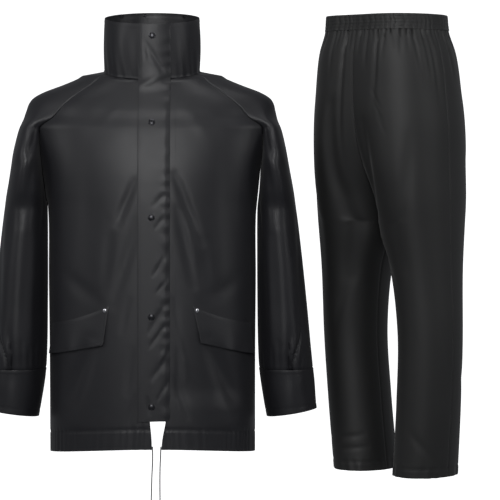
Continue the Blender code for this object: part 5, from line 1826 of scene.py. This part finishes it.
@dataclass
class Trousers:
    """Four leg panels and the waistband.

    Attributes:
        form: The trousers' sections.
        finishes: The finishes.
        seams: The trousers' stitches.
    """

    form: TrousersForm
    finishes: Finishes
    seams: Seams
    step: float = 0.004
    columns: int = 72
    wall: float = 0.0012
    seam_depth: float = 0.0011
    seam_width: float = 0.0018
    stitch_near: float = 0.0018
    hem_stitch: float = 0.020
    shirrs: int = 56
    shirr_depth: float = 0.0017
    shirr_steps: int = 10
    strip_half: float = 0.012
    band_rows: int = 22
    elastic_rows: tuple = (0.0065, 0.0135, 0.0205, 0.0275)

    def build(self) -> None:
        """Make the panels and the band."""
        for side in Side:
            for word, front in (("front", True), ("back", False)):
                self.build_panel(side, word, front)
        self.build_band()

    def build_panel(self, side: Side, word: str, front: bool) -> None:
        """Make one leg panel, from the side seam in to the middle.

        Args:
            side: The wearer's side.
            word: The panel's word in its name.
            front: Whether it is a front panel.
        """
        top = self.form.band_hem - 0.0003
        heights = np.linspace(top, self.form.hem, int((top - self.form.hem) / self.step) + 1)
        rows = []
        for z in heights:
            line = self.form.half(z)
            k = int(np.argmax(line[:, 0]))
            line = spread(line[:k + 1][::-1] if front else line[k:], self.columns)
            rows.append(np.column_stack([line, np.full(self.columns + 1, z)]))
        grid = np.array(rows)
        name = f"leg_{word}_{side.word}"
        shell = Shell(name, grid, wall=self.wall, mirror=side is Side.RIGHT, turned=front)
        shell.press(self.relief(grid, side, front))
        shell.grid = shell.hand(self.stand_mirrored(shell.grid, side))
        self.sew(shell, heights)
        shell.build(self.finishes.trousers, Slot.TROUSERS, "gathered", f"trousers_{word}_{side.word}")

    def stand_mirrored(self, grid: np.ndarray, side: Side) -> np.ndarray:
        """Stand a left-hand grid beside the jacket, on its own side."""
        return self.form.stand(grid * np.array([float(side.value), 1.0, 1.0]))

    def relief(self, grid: np.ndarray, side: Side, front: bool) -> np.ndarray:
        """How far folds, gathers, seams and the hem press a panel in."""
        shares = np.linspace(0, 1, self.columns + 1)[None, :]
        z = grid[..., 2]
        place = np.broadcast_to(0.5 - shares / 2 if front else 0.5 + shares / 2, z.shape)
        depths = trough(TROUSER_FOLDS[side] + TROUSER_CREASES[side], place, z, LEG_GIRTH)
        edge = np.minimum(1.0, np.minimum(shares, 1 - shares) * 8)
        depths = np.where(z < 0.02, depths * edge, depths)
        gathers = GATHERS[side] if front else BACK_GATHERS
        depths += self.gather_relief(gathers, place, z) * np.minimum(1.0, np.minimum(shares, 1 - shares) * 30)
        steps = np.linalg.norm(np.diff(grid, axis=1), axis=2)
        aside = np.concatenate([np.zeros((len(grid), 1)), np.cumsum(steps, axis=1)], axis=1)
        for distance in (aside, aside[:, -1:] - aside):
            depths += self.seam_depth * np.exp(-(distance / self.seam_width) ** 2)
        up = z - self.form.hem
        depths += 0.0008 * np.exp(-((up - self.hem_stitch) / 0.0022) ** 2)
        pucker = np.sin(place * 2 * np.pi * 13 + 2 * np.sin(place * 31)) * ease(0.034, 0.010, up)
        return depths + 0.0011 * pucker * np.minimum(1.0, np.minimum(shares, 1 - shares) * 10)

    def gather_relief(self, gathers: tuple, place: np.ndarray, z: np.ndarray) -> np.ndarray:
        """How far the elastic's gathers press the cloth in below the band."""
        depth = np.zeros(z.shape)
        for gather in gathers:
            down = np.clip((self.form.band_hem - z) / gather.length, 0.0, 1.0)
            middle = gather.place + gather.drift * down
            aside = (place - middle) * LEG_GIRTH
            width = gather.width * (0.8 + 0.9 * down)
            depth += gather.depth * (1 - down) ** 1.1 * np.exp(-(aside / width) ** 2)
        return depth

    def sew(self, shell: Shell, heights: np.ndarray) -> None:
        """Sew beside the side seam and the middle seam, and above the hem."""
        crotch = int((heights > self.form.crotch).sum())
        self.seams.run(*self.upright(shell, Edge.FIRST, self.stitch_near, None))
        self.seams.run(*self.upright(shell, Edge.LAST, self.stitch_near, crotch))
        self.seams.run(*self.upright(shell, Edge.BOTTOM, self.hem_stitch, None))

    @staticmethod
    def upright(shell: Shell, edge: Edge, distance: float, end: int | None) -> tuple:
        """A line along a panel's edge."""
        return shell.line(edge, distance, 0, end)

    def build_band(self) -> None:
        """Make the elastic band with its shirring, its smooth strip in front and its rows of stitches."""
        columns = self.shirrs * self.shirr_steps
        around = np.linspace(0, 1, columns + 1)
        height = self.form.waist_top - self.form.band_hem
        rows = []
        for share in np.linspace(0, 1, self.band_rows):
            z = self.form.waist_top - height * share
            half = self.form.half(z)
            ring = np.concatenate([half, half[::-1] * np.array([-1.0, 1.0])])
            ring = spread(np.concatenate([ring, ring[:1]]), columns)
            outward = ring / np.linalg.norm(ring, axis=1, keepdims=True)
            wander = 0.30 * np.sin(2 * np.pi * around * 9 + 1)
            phase = around * self.shirrs + wander + 0.10 * math.sin(share * 9)
            ridge = np.abs(np.cos(np.pi * phase)) ** 0.8
            uneven = 0.70 + 0.30 * np.sin(2 * np.pi * around * 17 + 2)
            smooth = ease(self.strip_half * 0.7, self.strip_half, np.minimum(around, 1 - around))
            raised = self.shirr_depth * (ridge * uneven * smooth + 0.55 * (1 - smooth))
            rolled = 0.0012 * math.exp(-(share * height / 0.0015) ** 2)
            rows_near = sum(math.exp(-((share * height - row) / 0.0009) ** 2) for row in self.elastic_rows)
            ring = ring + outward * (raised - rolled - 0.0005 * rows_near)[:, None]
            rows.append(np.column_stack([ring, np.full(len(ring), z)]))
        grid = self.form.stand(np.array(rows))
        shell = Shell("waistband_shell", grid, wall=self.wall, closed_from=0)
        shell.grid[:, -1] = shell.grid[:, 0]
        for row in self.elastic_rows:
            self.seams.run(*shell.line(Edge.TOP, row))
        shell.build(self.finishes.trousers, Slot.TROUSERS, "gathered", "waistband")


SOFT_BOXES = (
    # name, place, width, height, power
    ("front_box", (-0.2, -4.6, 1.3), 2.0, 2.4, 95.0),
    ("left_box", (-2.6, -1.6, 0.9), 0.8, 2.2, 16.0),
    ("right_box", (3.0, -1.6, 0.8), 0.8, 2.2, 16.0),
    ("top_box", (0.2, -0.6, 2.4), 2.4, 1.2, 22.0),
)


@dataclass
class Studio:
    """Floor, lights and camera."""

    camera_place: tuple = (0.2145, -5.0, -0.16)
    camera_target: tuple = (0.2145, 0.0, -0.3916)
    lens: float = 163.8
    sensor: float = 36.0
    floor_level: float = -1.30
    floor_half: float = 14.0
    floor_near: float = -14.0
    cove_y: float = 8.0
    cove: float = 2.0
    wall_top: float = 12.0
    sky: float = 0.16

    def build(self) -> None:
        """Make the stage."""
        self.build_camera()
        self.build_floor()
        self.build_lights()

    def build_camera(self) -> None:
        """Set the camera at the photo's viewing angle."""
        data = bpy.data.cameras.new("camera")
        data.lens = self.lens
        data.sensor_width = self.sensor
        data.clip_end = 60
        camera = bpy.data.objects.new("camera", data)
        bpy.context.scene.collection.objects.link(camera)
        camera.location = self.camera_place
        way = Vector(self.camera_target) - Vector(self.camera_place)
        camera.rotation_euler = way.to_track_quat("-Z", "Y").to_euler()
        bpy.context.scene.camera = camera

    def build_floor(self) -> None:
        """Make a pale floor that curves up into a backdrop, kept out of the garments' reflections."""
        turns = np.linspace(0, math.pi / 2, 17)
        bend = [
            (self.cove_y + self.cove * math.sin(turn), self.floor_level + self.cove * (1 - math.cos(turn)))
            for turn in turns
        ]
        profile = [(self.floor_near, self.floor_level), *bend, (self.cove_y + self.cove, self.wall_top)]
        vertices = [(x, y, z) for y, z in profile for x in (-self.floor_half, self.floor_half)]
        faces = [(2 * k, 2 * k + 1, 2 * k + 3, 2 * k + 2) for k in range(len(profile) - 1)]
        mesh = bpy.data.meshes.new("floor")
        mesh.from_pydata(vertices, [], faces)
        recipe = Recipe("pale_floor")
        white = (1.0, 1.0, 1.0, 1.0)
        material = recipe.finish(Base_Color=white, Roughness=0.9, Emission_Color=white, Emission_Strength=1.0)
        floor = add_object("floor", mesh, material)
        floor.visible_glossy = False
        floor.visible_diffuse = False
        floor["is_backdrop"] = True

    def build_lights(self) -> None:
        """Set soft boxes in front of the garments under a dim sky."""
        world = bpy.data.worlds.new("studio")
        bpy.context.scene.world = world
        world.use_nodes = True
        sky = world.node_tree.nodes["Background"]
        sky.inputs["Color"].default_value = (0.92, 0.95, 1.0, 1.0)
        sky.inputs["Strength"].default_value = self.sky
        for name, place, width, height, power in SOFT_BOXES:
            data = bpy.data.lights.new(name, "AREA")
            data.shape = "RECTANGLE"
            data.size = width
            data.size_y = height
            data.energy = power
            light = bpy.data.objects.new(name, data)
            bpy.context.scene.collection.objects.link(light)
            light.location = place
            way = Vector((0.25, 0.0, -0.35)) - Vector(place)
            light.rotation_euler = way.to_track_quat("-Z", "Y").to_euler()
        bpy.context.scene.view_settings.view_transform = "Standard"


def ride_all() -> None:
    """Let every new piece ride on the one body."""
    for item in list(bpy.data.objects):
        if item.type in {"MESH", "CURVE"} and item.name not in frame["nodes"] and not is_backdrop(item):
            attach(item, ROOT)


def main() -> None:
    """Build the looks, piece by piece."""
    logging.basicConfig(level=logging.INFO, format="%(message)s")
    Studio().build()
    log.info("studio and camera")
    finishes = Finishes()
    Drawcords(finishes).build()
    log.info("drawcord ends and their knots")
    form = JacketForm()
    seams = Seams("jacket_stitching")
    body = JacketBody(form, finishes, seams)
    body.build()
    log.info("jacket fronts, back, sleeves and cuffs")
    Collar(form, finishes, seams).build()
    log.info("collar")
    placket = Placket(form, finishes, seams)
    placket.build(body.fronts)
    log.info("storm flap")
    flaps = {side: PocketFlap(form, finishes, seams, side, FLAP_STAND[side]) for side in Side}
    for flap in flaps.values():
        flap.build()
    log.info("pocket flaps")
    Fasteners(placket, flaps, finishes).build()
    log.info("snaps and rivets")
    seams.build(finishes.thread, Slot.JACKET)
    seams = Seams("trousers_stitching")
    Trousers(TrousersForm(), finishes, seams).build()
    seams.build(finishes.thread, Slot.TROUSERS)
    log.info("trousers")
    ride_all()


if __name__ == "__main__":
    main()
